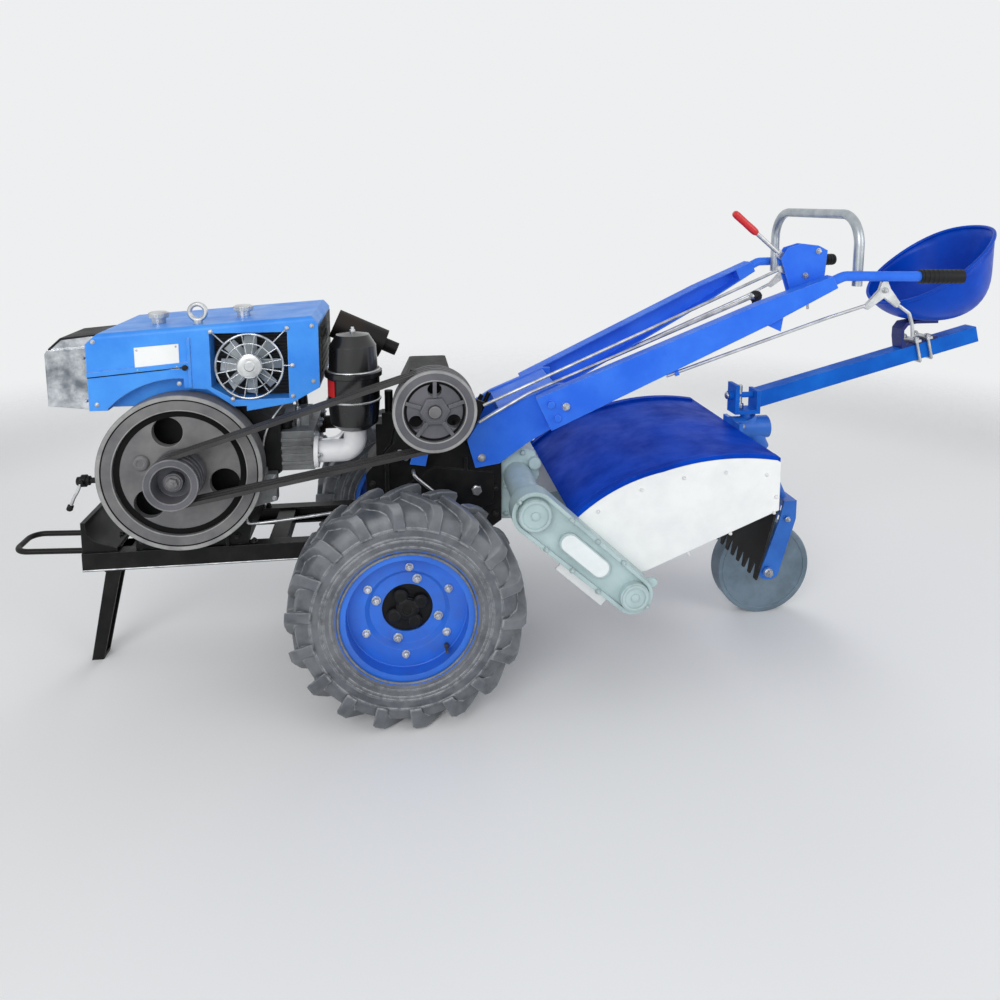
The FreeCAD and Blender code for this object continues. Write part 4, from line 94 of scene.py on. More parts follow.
# wear and its colour lighten sharp edges in patches: worn paint, and partly a painted highlight on the edges
finishes = {
    "hoodBlue": dict(color=(72, 154, 242), tone=(54, 136, 232), coat=0.08, rough=0.36, gloss=0.2, edge=4.0,
                     wearAndHighlight=0.25, wearAndHighlightColor=(178, 212, 250), grain=0.12),
    "handleBlue": dict(color=(56, 122, 240), tone=(42, 106, 230), coat=0.05, rough=0.4, gloss=0.15, edge=3.0,
                       wearAndHighlight=0.25, wearAndHighlightColor=(176, 206, 250), grain=0.15),
    "beamBlue": dict(color=(18, 106, 208), tone=(10, 88, 188), rough=0.44, gloss=0.1, edge=3.0,
                     wearAndHighlight=0.2, wearAndHighlightColor=(120, 170, 235), grain=0.18),
    "rimBlue": dict(color=(46, 114, 220), tone=(34, 96, 200), coat=0.2, rough=0.4, gloss=0.3, edge=2.5,
                    wearAndHighlight=0.25, wearAndHighlightColor=(120, 150, 210), dust=0.15, dustColor=(110, 128, 160), grain=0.3),
    "seatBlue": dict(color=(0, 76, 198), tone=(0, 60, 174), coat=0.06, rough=0.36, gloss=0.15, edge=1.5,
                     wearAndHighlight=0.15, wearAndHighlightColor=(110, 160, 235), grain=0.15),
    "springBlue": dict(color=(10, 34, 112), tone=(6, 22, 84), coat=0.2, rough=0.42, gloss=0.3, edge=1.5,
                       grain=0.2),
    "coverBlue": dict(color=(0, 68, 190), tone=(0, 52, 162), rough=0.44, gloss=0.05, edge=3.0,
                      wearAndHighlight=0.1, wearAndHighlightColor=(100, 145, 225), grain=0.2),
    "forkBlue": dict(color=(38, 112, 206), tone=(26, 92, 184), coat=0.3, rough=0.4, gloss=0.3, edge=3.0,
                     wearAndHighlight=0.25, wearAndHighlightColor=(150, 185, 235), grain=0.3),
    "frameBlack": dict(color=(10, 10, 11), tone=(18, 18, 19), coat=0.04, rough=0.42, gloss=0.18, edge=3.0,
                       wearAndHighlight=0.3, wearAndHighlightColor=(104, 104, 102), dust=0.08, dustColor=(96, 90, 80), grain=0.5),
    "castBlack": dict(color=(10, 11, 12), tone=(19, 20, 22), rough=0.48, gloss=0.18, edge=4.0,
                      wearAndHighlight=0.25, wearAndHighlightColor=(92, 92, 95), dust=0.08, dustColor=(90, 84, 76), grain=1.5,
                      grainSize=420),
    "wheelIron": dict(color=(122, 121, 121), tone=(98, 98, 101), coat=0.1, rough=0.42, gloss=0.35, edge=4.0,
                      wearAndHighlight=0.4, wearAndHighlightColor=(168, 168, 170), dust=0.15, dustColor=(60, 58, 54), grain=0.7,
                      grainSize=380),
    "turnedIron": dict(color=(158, 158, 157), tone=(132, 132, 133), coat=0.1, rough=0.36, gloss=0.4,
                       dust=0.2, dustColor=(84, 82, 80), grain=0.4, toneSize=14),
    "pulleyIron": dict(color=(98, 98, 104), tone=(76, 77, 83), coat=0.1, rough=0.4, gloss=0.35, edge=3.0,
                       wearAndHighlight=0.45, wearAndHighlightColor=(150, 150, 155), grain=0.7, grainSize=380),
    "engineGrey": dict(color=(128, 131, 132), tone=(98, 101, 103), rough=0.46, metal=0.2, edge=3.0,
                       wearAndHighlight=0.35, wearAndHighlightColor=(182, 182, 182), dust=0.28, dustColor=(48, 44, 38), grain=1.8,
                       grainSize=400),
    "gearGreen": dict(color=(182, 203, 205), tone=(168, 190, 192), coat=0.15, rough=0.42, gloss=0.3, edge=5.0,
                      wearAndHighlight=0.25, wearAndHighlightColor=(226, 234, 235), dust=0.18, dustColor=(128, 134, 128), grain=1.3,
                      grainSize=360),
    "panelWhite": dict(color=(240, 242, 241), tone=(231, 234, 235), coat=0.3, rough=0.34, gloss=0.35,
                       edge=2.5, dust=0.06, dustColor=(186, 180, 172), grain=0.12),
    "padWhite": dict(color=(236, 242, 243), tone=(224, 232, 234), coat=0.2, rough=0.4, edge=3.0,
                     dust=0.1, dustColor=(170, 168, 158), grain=0.6, grainSize=300),
    "tyreRubber": dict(color=(96, 100, 106), tone=(70, 74, 80), coat=0.3, coatRough=0.25, rough=0.44,
                       gloss=0.45, edge=5.0, wearAndHighlight=0.6, wearAndHighlightColor=(164, 168, 172), dust=0.45,
                       dustColor=(134, 136, 138), grain=0.9, grainSize=260, toneSize=16),
    "beltRubber": dict(color=(56, 55, 56), tone=(70, 69, 69), rough=0.55, gloss=0.2, edge=1.0,
                       wearAndHighlight=0.4, wearAndHighlightColor=(112, 110, 110), grain=0.5, grainSize=600),
    "gripRubber": dict(color=(14, 15, 17), tone=(22, 23, 25), rough=0.5, gloss=0.3, edge=1.0, grain=0.3),
    "chrome": dict(color=(214, 218, 222), tone=(116, 122, 130), metal=1, rough=0.14, edge=4.0, grain=0.4,
                   grainSize=24, toneSize=16),
    "plated": dict(color=(214, 216, 216), tone=(176, 178, 180), metal=0.85, rough=0.28, edge=2.0,
                   wearAndHighlight=0.1, wearAndHighlightColor=(235, 235, 235), grain=0.3, grainSize=500, toneSize=22),
    "brightSteel": dict(color=(200, 202, 204), tone=(150, 152, 156), metal=0.85, rough=0.3, edge=1.0,
                        grain=0.5, grainSize=500, toneSize=30),
    "hoopSteel": dict(color=(188, 194, 198), tone=(160, 168, 174), metal=0.8, rough=0.32, edge=1.0,
                      dust=0.15, dustColor=(112, 112, 108), grain=0.4, grainSize=350, toneSize=20),
    "tailSteel": dict(color=(120, 138, 152), tone=(98, 116, 130), metal=0.35, rough=0.42, gloss=0.35,
                      edge=3.0, wearAndHighlight=0.3, wearAndHighlightColor=(180, 190, 196), dust=0.2, dustColor=(96, 98, 96),
                      grain=0.6, grainSize=260),
    # near black standing in for the shade in grooves and under the hood's bead: painted shade
    "grooveBlack": dict(color=(9, 9, 10), tone=(15, 15, 16), rough=0.6, gloss=0.1, grain=0.6),
    "filterBlack": dict(color=(14, 14, 16), tone=(22, 22, 24), coat=0.6, rough=0.3, gloss=0.35, edge=3.0,
                        grain=0.3),
    "elbowWhite": dict(color=(244, 245, 246), tone=(234, 235, 238), coat=0.1, rough=0.42, edge=3.0,
                       dust=0.12, dustColor=(140, 136, 128), grain=1.0, grainSize=300),
    "mufflerBlack": dict(color=(20, 19, 19), tone=(34, 29, 26), rough=0.55, gloss=0.25, edge=3.0,
                         wearAndHighlight=0.3, wearAndHighlightColor=(86, 68, 56), dust=0.15, dustColor=(84, 62, 48), grain=0.8),
    "radiatorBlack": dict(color=(26, 28, 30), tone=(40, 42, 44), metal=0.2, rough=0.5, gloss=0.3, grain=0.5),
    "fanGrey": dict(color=(196, 202, 204), tone=(172, 180, 182), metal=0.2, rough=0.36, edge=2.0, grain=0.4),
    "leverRed": dict(color=(214, 28, 36), tone=(194, 20, 28), coat=0.5, rough=0.3, gloss=0.35, edge=1.5,
                     grain=0.15),
    "hoseBlack": dict(color=(16, 16, 17), tone=(26, 26, 27), rough=0.45, gloss=0.3, grain=0.3),
    "labelRed": dict(color=(206, 44, 44), tone=(188, 34, 36), rough=0.35, grain=0.1),
    "lensGlass": dict(color=(190, 200, 208), tone=(150, 160, 170), coat=1.0, rough=0.12, grain=0.1,
                      toneSize=20),
}
# what every finish has unless it says otherwise
surface = dict(
    metal=0, coat=0, coatRough=0.14, gloss=0.5,
    toneSize=7, toneDetail=5, toneFrom=0.38, toneTo=0.64,         # slow change from colour to tone
    grimeSize=14, grimeDetail=8, dustFrom=0.44, dustTo=0.72,      # spots of dust
    dullFrom=0.3, dullTo=0.75, smoother=0.07, rougher=0.16,       # the same spots shine less
    grainSize=180, grainDetail=3, bumpLeast=0.25, bumpGain=0.4, bumpDepth=0.0004,
    chipSize=60, chipDetail=4, chipFrom=0.35, chipTo=0.6, turnFrom=0.995, turnTo=0.82, wearAndHighlightGain=2,
)
made = {}


def shade(red, green, blue):
    # screen colour to the shader's own scale
    scaled = [((c / 255 + 0.055) / 1.055) ** 2.4 if c > 10 else c / 3294 for c in (red, green, blue)]
    return (*scaled, 1)


def makeFinish(name):
    look = {**surface, **finishes[name]}
    material = bpy.data.materials.new(name)
    material.use_nodes = True
    tree = material.node_tree
    shader = tree.nodes["Principled BSDF"]
    for socket, value in (("Metallic", "metal"), ("Coat Weight", "coat"), ("Coat Roughness", "coatRough"),
                          ("Specular IOR Level", "gloss")):
        shader.inputs[socket].default_value = look[value]
    place = tree.nodes.new("ShaderNodeTexCoord").outputs["Object"]

    def cloud(spots):
        node = tree.nodes.new("ShaderNodeTexNoise")
        node.inputs["Scale"].default_value = look[spots + "Size"]
        node.inputs["Detail"].default_value = look[spots + "Detail"]
        node.inputs["Roughness"].default_value = 0.6
        tree.links.new(place, node.inputs["Vector"])
        return node.outputs["Fac"]

    def stretch(value, spots, first=0, last=1):
        node = tree.nodes.new("ShaderNodeMapRange")
        for socket, number in (("From Min", look[spots + "From"]), ("From Max", look[spots + "To"]),
                               ("To Min", first), ("To Max", last)):
            node.inputs[socket].default_value = number
        tree.links.new(value, node.inputs["Value"])
        return node.outputs["Result"]

    def times(value, other):
        node = tree.nodes.new("ShaderNodeMath")
        node.operation = "MULTIPLY"
        tree.links.new(value, node.inputs[0])
        if isinstance(other, (int, float)):
            node.inputs[1].default_value = other
        else:
            tree.links.new(other, node.inputs[1])
        return node.outputs[0]

    def mixed(factor, first, second):
        node = tree.nodes.new("ShaderNodeMix")
        node.data_type = "RGBA"
        tree.links.new(factor, node.inputs[0])
        for socket, colour in ((node.inputs[6], first), (node.inputs[7], second)):
            if isinstance(colour, tuple):
                socket.default_value = shade(*colour)
            else:
                tree.links.new(colour, socket)
        return node.outputs[2]

    colour = mixed(stretch(cloud("tone"), "tone"), look["color"], look["tone"])
    grime = cloud("grime")
    if "dust" in look:
        colour = mixed(times(stretch(grime, "dust"), look["dust"]), colour, look["dustColor"])
    bump = tree.nodes.new("ShaderNodeBump")
    bump.inputs["Strength"].default_value = min(1, look["bumpLeast"] + look["grain"] * look["bumpGain"])
    bump.inputs["Distance"].default_value = look["bumpDepth"] * look["grain"]
    tree.links.new(cloud("grain"), bump.inputs["Height"])
    if "edge" in look:
        bevel = tree.nodes.new("ShaderNodeBevel")
        bevel.samples = 4
        bevel.inputs["Radius"].default_value = look["edge"] * mm
        tree.links.new(bevel.outputs["Normal"], bump.inputs["Normal"])
        if "wearAndHighlight" in look:
            # bare or lighter paint where the surface turns sharply: partly wear, partly a painted highlight
            # on the edges
            geometry = tree.nodes.new("ShaderNodeNewGeometry")
            match = tree.nodes.new("ShaderNodeVectorMath")
            match.operation = "DOT_PRODUCT"
            tree.links.new(bevel.outputs["Normal"], match.inputs[0])
            tree.links.new(geometry.outputs["Normal"], match.inputs[1])
            rubbedAndLitEdges = times(stretch(match.outputs["Value"], "turn"), stretch(cloud("chip"), "chip"))
            colour = mixed(times(rubbedAndLitEdges, look["wearAndHighlight"] * look["wearAndHighlightGain"]), colour, look["wearAndHighlightColor"])
    tree.links.new(colour, shader.inputs["Base Color"])
    rough = stretch(grime, "dull", look["rough"] - look["smoother"], look["rough"] + look["rougher"])
    tree.links.new(rough, shader.inputs["Roughness"])
    tree.links.new(bump.outputs["Normal"], shader.inputs["Normal"])
    return material


def finish(name):
    if name not in made:
        made[name] = makeFinish(name)
    return made[name]


partFinish = {
    "hoodBlue": ["hood"],
    "handleBlue": ["handle_base", "handlebar_left", "handlebar_right", "lever_quadrant"],
    "rimBlue": ["rim_left", "rim_right"],
    "seatBlue": ["seat_pan"],
    "springBlue": ["seat_spring"],
    "coverBlue": ["tiller_cover"],
    "beamBlue": ["seat_beam", "hitch_clevis"],
    "forkBlue": ["tail_fork", "tail_sleeve"],
    "frameBlack": ["frame_rails", "nose_plate", "tow_loop", "front_stand", "stand_bracket", "comb_plate",
                   "rotor"],
    "castBlack": ["gearbox", "engine_block", "hub_left", "hub_right"],
    "wheelIron": ["flywheel"],
    "pulleyIron": ["engine_pulley", "clutch_pulley"],
    "engineGrey": ["cylinder_head"],
    "gearGreen": ["gear_arm", "bearing_arm", "tiller_input_case"],
    "panelWhite": ["side_panels"],
    "tyreRubber": ["tyre_left", "tyre_right"],
    "beltRubber": ["drive_belts"],
    "gripRubber": ["hand_grips"],
    "chrome": ["head_lamp", "fan_guard"],
    "plated": ["filler_caps", "lifting_eye", "steering_levers", "beam_clamps"],
    "brightSteel": ["control_rods"],
    "hoopSteel": ["hoop"],
    "tailSteel": ["tail_wheel"],
    "filterBlack": ["air_filter"],
    "elbowWhite": ["intake_elbow"],
    "mufflerBlack": ["muffler"],
    "radiatorBlack": ["radiator_core"],
    "fanGrey": ["fan"],
    "leverRed": ["clutch_lever"],
    "lensGlass": ["lamp_glass"],
}
for name, members in partFinish.items():
    for part in members:
        parts[part].data.materials.clear()
        parts[part].data.materials.append(finish(name))
print("finishes on", sum(len(members) for members in partFinish.values()), "nodes")


# tools for small parts

def joinRows(mesh, rows, closed=True):
    # faces between neighbouring rows of points; a closed row comes back to its first point
    for here, there in zip(rows, rows[1:]):
        for index in range(len(here) if closed else len(here) - 1):
            after = (index + 1) % len(here)
            mesh.faces.new((here[index], here[after], there[after], there[index]))


def turnedForm(mesh, start, way, profile, sides=20, spin=0.0):
    # rings of (distance along, radius) round a line; a zero radius closes to a point
    way = way.normalized()
    aside = way.orthogonal().normalized()
    other = way.cross(aside)
    rings = []
    for along, radius in profile:
        base = start + way * (along * mm)
        angles = [2 * math.pi * turn / sides + spin for turn in range(sides)] if radius else [0]
        rings.append([mesh.verts.new(base + (aside * math.cos(a) + other * math.sin(a)) * (radius * mm))
                      for a in angles])
    for low, high in zip(rings, rings[1:]):
        if len(low) > 1 and len(high) > 1:
            joinRows(mesh, (low, high))
            continue
        for turn in range(sides):
            after = (turn + 1) % sides
            if len(low) == 1:
                mesh.faces.new((low[0], high[after], high[turn]))
            else:
                mesh.faces.new((low[turn], low[after], high[0]))
    if len(rings[0]) > 1:
        mesh.faces.new(rings[0][::-1])
    if len(rings[-1]) > 1:
        mesh.faces.new(rings[-1])


def flatRing(mesh, centre, way, inner, outer, depth, sides=72):
    # a flat ring that stands out by its depth
    rings = [[mesh.verts.new(place + way * (lift * mm)) for place in ring(centre, radius, sides)]
             for radius, lift in ((inner, 0), (inner, depth), (outer, depth), (outer, 0))]
    joinRows(mesh, rings + rings[:1])


def slab(mesh, corners, depth):
    # a flat outline given by its corners, made thick by the depth vector
    first = [mesh.verts.new(corner) for corner in corners]
    second = [mesh.verts.new(corner + depth) for corner in corners]
    mesh.faces.new(first)
    mesh.faces.new(second[::-1])
    for index in range(len(corners)):
        after = (index + 1) % len(corners)
        mesh.faces.new((first[after], first[index], second[index], second[after]))


def bar(mesh, start, end, wide, thin):
    # a flat bar on edge between two places, with its width square to Y
    along = (end - start).normalized()
    half = Vector((-along.z, 0, along.x)) * wide * mm / 2
    face = left * thin * mm / 2
    corners = [start + half + face, start - half + face, end - half + face, end + half + face]
    slab(mesh, corners, right * thin * mm)


def settle(piece, look, body):
    bpy.context.scene.collection.objects.link(piece)
    piece.data.materials.append(finish(look))
    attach(piece, body)
    return piece


def keepPiece(name, mesh, look, body="chassis", slot=None, soften=0.0, angle=32):
    bmesh.ops.recalc_face_normals(mesh, faces=mesh.faces)
    data = bpy.data.meshes.new(name)
    mesh.to_mesh(data)
    mesh.free()
    data.polygons.foreach_set("use_smooth", [True] * len(data.polygons))
    data.set_sharp_from_angle(angle=math.radians(angle))
    piece = bpy.data.objects.new(name, data)
    if soften:
        bevel = piece.modifiers.new("edges", "BEVEL")
        bevel.width = soften * mm
        bevel.segments = 2
        bevel.limit_method = "ANGLE"
        bevel.angle_limit = math.radians(35)
    return settle(piece, look, body)


def turned(name, forms, look, **more):
    # a piece of turned forms, each with its start, direction, profile and number of sides
    mesh = bmesh.new()
    for form in forms:
        turnedForm(mesh, *form)
    return keepPiece(name, mesh, look, **more)


def plate(name, corners, depth, look, **more):
    mesh = bmesh.new()
    slab(mesh, corners, depth)
    return keepPiece(name, mesh, look, **more)


def flatRings(name, bands, look, body):
    # a piece of flat rings on left faces, each with its centre, inner and outer radius and depth
    mesh = bmesh.new()
    for centre, (inner, outer, depth) in bands:
        flatRing(mesh, centre, left, inner, outer, depth)
    return keepPiece(name, mesh, look, body)


def wires(name, runs, radius, look, body="chassis", smooth=True, closed=False):
    # round wires, hoses and pipes through their points
    curve = bpy.data.curves.new(name, "CURVE")
    curve.dimensions = "3D"
    curve.bevel_depth = radius * mm
    curve.bevel_resolution = 4
    curve.resolution_u = 8
    curve.use_fill_caps = True
    for run in runs:
        line = curve.splines.new("NURBS" if smooth else "POLY")
        line.points.add(len(run) - 1)
        for point, place in zip(line.points, run):
            point.co = (*place, 1)
        if smooth:
            line.order_u = 3
            line.use_endpoint_u = not closed
        line.use_cyclic_u = closed
    return settle(bpy.data.objects.new(name, curve), look, body)


# washer, six-sided head with its chamfer, and the end of the thread: distance out and radius as shares of the
# size, and the number of sides; a distance of 0 is sunk a little into the face
boltShape = [([(0, 0.66), (0.14, 0.66)], 18), ([(0.1, 0.54), (0.56, 0.54), (0.64, 0.46)], 6),
             ([(0.5, 0.27), (0.78, 0.27), (0.84, 0.22)], 12)]
boltSink = 0.5


def boltSet(name, places, way, size, look, body="chassis", slot=None):
    mesh = bmesh.new()
    for place in places:
        for shares, sides in boltShape:
            profile = [(size * out if out else -boltSink, size * share) for out, share in shares]
            turnedForm(mesh, place, way, profile, sides)
    return keepPiece(name, mesh, look, body, slot)


def addAll(bolts=None, lines=None, forms=None):
    # bolts: points, direction, size, finish; lines: points, radius, finish
    # forms: finish, then the start, direction, profile and number of sides of each
    for name, (points, way, size, look) in (bolts or {}).items():
        boltSet(name, route(points), way, size, look)
    for name, (points, radius, look) in (lines or {}).items():
        wires(name, [route(points)], radius, look)
    for name, (look, members) in (forms or {}).items():
        turned(name, [(spot(*start), way, profile, sides) for start, way, profile, sides in members], look)


# tyres and wheels

tyreLook = dict(
    steps=96, lugs=18, lugWidth=27.0, lugSlant=0.30, fullSlant=0.21, lugSpread=0.18, footWide=1.18,
    topWide=0.84, treadRadius=290,
    section=[(-62, 161), (-68, 172), (-73, 186), (-76, 204), (-77.5, 224), (-76, 246), (-71, 263), (-62, 276),
             (-44, 282.5), (-20, 284.5), (0, 285), (20, 284.5), (44, 282.5), (62, 276), (71, 263), (76, 246),
             (77.5, 224), (76, 204), (73, 186), (68, 172), (62, 161)],
    wallRings=[(172, 75.2), (190, 77.4), (208, 79.0), (216, 79.2), (240, 78.6)], ringFoot=3, ringTop=1.4,
)
# a lug from the middle line over the shoulder: share, place across, top radius, foot radius, turn
lugPath = [(0.0, -8, 304, 280, 0.0), (0.25, 22, 305, 279, 0.06), (0.5, 46, 305, 276, 0.125),
           (0.72, 67, 303, 268, 0.175), (0.88, 79, 290, 252, 0.195), (1.0, 83, 262, 236, 0.2)]


def makeTyre(name):
    look = tyreLook
    centre = middleOf("tyre_" + name)
    mesh = bmesh.new()

    def point(angle, radius, y):
        outward = Vector((math.sin(angle), 0, math.cos(angle)))
        return mesh.verts.new(centre + outward * (radius * mm) + right * (y * mm))

    def band(outline, closed):
        # an outline of places across and radii, laid round the wheel
        rows = [[point(2 * math.pi * turn / look["steps"], radius, y) for y, radius in outline]
                for turn in range(look["steps"])]
        joinRows(mesh, rows + rows[:1], closed)

    band(look["section"], True)
    # thin raised rings on both walls
    foot, crown = look["ringFoot"], look["ringTop"]
    for radius, y in look["wallRings"]:
        for face in (-1, 1):
            band([((y - foot) * face, radius - foot), (y * face, radius - crown), (y * face, radius + crown),
                  ((y - foot) * face, radius + foot)], False)
    for half in (-1, 1):
        for turn in range(look["lugs"]):
            start = 2 * math.pi * (turn + (0.5 if half > 0 else 0)) / look["lugs"]
            sections = []
            for share, y, top, foot, swing in lugPath:
                middle = start + swing * look["lugSlant"] / look["fullSlant"]
                width = look["lugWidth"] / 2 * (1 + look["lugSpread"] * share)
                edges = [(-look["footWide"], foot), (-look["topWide"], top), (look["topWide"], top),
                         (look["footWide"], foot)]
                sections.append([point(middle + width * wide / look["treadRadius"], radius, y * half)
                                 for wide, radius in edges])
            joinRows(mesh, sections)
            mesh.faces.new(sections[0])
            mesh.faces.new(sections[-1][::-1])
    tyre = keepPiece("tyre_tread_" + name, mesh, "tyreRubber", "wheel_" + name, soften=2.2, angle=40)
    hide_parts("tyre_" + name)


wheelLook = dict(
    # distance out, radius, count, first angle, size
    bolts=[("rim_bolts_", 28.5, 118, 6, 27, 16), ("hub_bolts_", 14.5, 83, 4, 72, 18)],
    # weld where the disc meets the rim's drum, and the curled lip: out, radius, thickness
    rings=[("rim_weld_", 29, 153, 3.0), ("rim_lip_", 67.5, 180, 3.4)],
    stemOut=30, stemPlace=(98, -100), stem=[(0, 6), (12, 6), (14, 4), (34, 4), (36, 3)],
    lobeOut=12, lobeRadius=38, lobe=[(0, 20), (9, 19), (13, 14), (14, 0)],
    capOut=20, cap=[(0, 26), (4, 26), (7, 20), (7, 13), (2, 12), (2, 0)],
)


def dressWheel(name, out):
    look = wheelLook
    hub = middleOf("tyre_" + name)
    body = "wheel_" + name
    for label, depth, radius, count, first, size in look["bolts"]:
        boltSet(label + name, ring(hub + out * depth * mm, radius, count, first), out, size, "plated", body)
    for label, depth, radius, thick in look["rings"]:
        wires(label + name, [ring(hub + out * depth * mm, radius, 48)], thick, "rimBlue", body, closed=True)
    across, rise = look["stemPlace"]
    stemFoot = hub + out * look["stemOut"] * mm + rearward * across * mm + up * rise * mm
    turned("valve_stem_" + name, [(stemFoot, out, look["stem"], 12)], "beltRubber", body=body)
    # four cast lobes round the axle's end
    places = ring(hub + out * look["lobeOut"] * mm, look["lobeRadius"], 4, 27)
    lobes = [(place, out, look["lobe"], 20) for place in places]
    lobes.append((hub + out * look["capOut"] * mm, out, look["cap"], 32))
    turned("axle_lobes_" + name, lobes, "castBlack", body=body, slot="hub_black")


for name, side, out in bothSides:
    makeTyre(name)
    dressWheel(name, out)
print("wheels done")


# hood with its lamp, caps and radiator

hoodLook = dict(
    skin=4, plate=[(-699, 896), (-586, 902), (-586, 970), (-699, 962)], plateThick=2.0,
    rivetIn=7, rivet=[(0, 2.5), (1.2, 2.5), (2, 5 / 3), (2.2, 0)],
    line=[(-819, 884.5), (-578, 905.5)], shadeLineY=187, shadeLineThick=1.6,
    knobPlace=(-572, 906), knobY=186, knob=[(0, 4), (3, 4), (3, 7), (9, 7.5), (11, 5), (11.5, 0)],
    screws=[(-800, 812), (-590, 862), (-296, 818), (-240, 858), (-240, 1010), (-800, 980)],
    screwY=186, screw=9,
)


def dressHood():
    look = hoodLook
    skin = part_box("hood")[0].y / mm + look["skin"]
    corners = onFace(skin, look["plate"])
    plate("blank_plate", corners, left * look["plateThick"] * mm, "panelWhite", soften=0.8)
    middle = sum(corners, Vector()) / len(corners)
    rivets = []
    for corner in corners:
        gap = middle - corner
        inward = Vector((math.copysign(look["rivetIn"], gap.x), 0, math.copysign(look["rivetIn"], gap.z)))
        rivets.append((corner + (inward + left * look["plateThick"]) * mm, left, look["rivet"], 12))
    turned("plate_rivets", rivets, "brightSteel")
    # the dark line under the bead, a painted shadow of the bead, and the knob at its end, on both sides
    wires("hood_shade_line", [onFace(side * look["shadeLineY"], look["line"]) for name, side, way in bothSides],
          look["shadeLineThick"], "grooveBlack", smooth=False)
    x, z = look["knobPlace"]
    turned("hood_knobs", [(spot(x, side * look["knobY"], z), way, look["knob"], 18)
                          for name, side, way in bothSides], "castBlack")
    for name, side, way in bothSides:
        boltSet("hood_screws_" + name, onFace(side * look["screwY"], look["screws"]), way, look["screw"],
                "brightSteel")


finLook = dict(count=20, lowFront=-438, highFront=-505, change=850, rearIn=2, leftIn=60, rightIn=34, half=1.2,
               deep=5)


def makeFins():
    # cooling fins in the radiator opening, seen on both sides
    look = finLook
    hoodLow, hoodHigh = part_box("hood")
    coreLow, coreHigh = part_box("radiator_core")
    half = up * look["half"] * mm
    mesh = bmesh.new()
    for turn in range(look["count"]):
        z = coreLow.z + (coreHigh.z - coreLow.z) * (turn + 0.5) / look["count"]
        front = spot(look["lowFront"] if z < look["change"] * mm else look["highFront"], 0, 0).x
        for y, way in ((hoodLow.y + look["leftIn"] * mm, left), (hoodHigh.y - look["rightIn"] * mm, right)):
            start, end = Vector((front, y, z)), Vector((coreHigh.x - look["rearIn"] * mm, y, z))
            slab(mesh, [start - half, end - half, end + half, start + half], way * look["deep"] * mm)
    keepPiece("radiator_fins", mesh, "radiatorBlack")


hoodBackLook = dict(x=-224, panel=[(-178, 850), (178, 850), (178, 1006), (-178, 1006)], panelThick=1.5,
                    slotX=-223.5, slots=7, slotLow=868, slotStep=20, slotHalf=120, slotHigh=8, slotThick=2.5)


def dressHoodBack():
    # black panel with a grille of small slots
    look = hoodBackLook
    plate("rear_panel", [spot(look["x"], y, z) for y, z in look["panel"]], rearward * look["panelThick"] * mm,
          "castBlack", soften=0.5)
    mesh = bmesh.new()
    x, half = look["slotX"], look["slotHalf"]
    for turn in range(look["slots"]):
        z = look["slotLow"] + turn * look["slotStep"]
        top = z + look["slotHigh"]
        slab(mesh, route([(x, -half, z), (x, half, z), (x, half, top), (x, -half, top)]),
             rearward * look["slotThick"] * mm)
    keepPiece("rear_slots", mesh, "castBlack", soften=0.8)


lampLook = dict(
    frameOut=1.5, frameThick=2.6, ribs=14, ribIn=0.4, ribEnd=4, rib=3.2, cowlIn=3,
    cowl=[(-955, 945), (-921, 975.5), (-822, 984), (-822, 979), (-918, 969), (-950, 940)],
    screws=[(-862, side * 88, z) for side in (-1, 1) for z in (800, 920)], screw=8,
)


def dressLamp():
    look = lampLook
    low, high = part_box("head_lamp")
    glassLow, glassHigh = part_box("lamp_glass")
    # frame round the glass, ribs on it, and the dark hood over it
    face = glassLow.x - look["frameOut"] * mm
    rim = [Vector((face, y, z)) for y, z in ((glassLow.y, glassLow.z), (glassHigh.y, glassLow.z),
                                             (glassHigh.y, glassHigh.z), (glassLow.y, glassHigh.z))]
    wires("lamp_frame", [rim], look["frameThick"], "chrome", smooth=False, closed=True)
    tall = (glassHigh.z - glassLow.z) / mm - 2 * look["ribEnd"]
    ribs = []
    for turn in range(look["ribs"]):
        y = glassLow.y + (glassHigh.y - glassLow.y) * (turn + 0.5) / look["ribs"]
        foot = Vector((glassLow.x + look["ribIn"] * mm, y, glassLow.z + look["ribEnd"] * mm))
        ribs.append((foot, up, [(0, look["rib"]), (tall, look["rib"])], 8))
    turned("lens_ribs", ribs, "lensGlass")
    plate("lamp_cowl", onFace(low.y / mm + look["cowlIn"], look["cowl"]),
          right * (high.y - low.y - 2 * look["cowlIn"] * mm), "castBlack", soften=2)
    boltSet("lamp_screws", route(look["screws"]), left, look["screw"], "chrome")


guardLook = dict(
    out=2.2, rings=[("outer", 88, 3.4), ("middle", 62, 2.2), ("inner", 32, 2.6)],
    spokes=16, firstSpoke=11.25, spokeFrom=31, spokeTo=88, spokeThick=2.0,
    arms=[(45, 147), (135, 140), (0, 116), (242, 104)], armFrom=87, boltIn=4, bolt=9,
    discIn=2, disc=[(0, 33), (3, 33), (4.2, 30), (4.4, 14), (6, 12), (6.2, 0)],
)


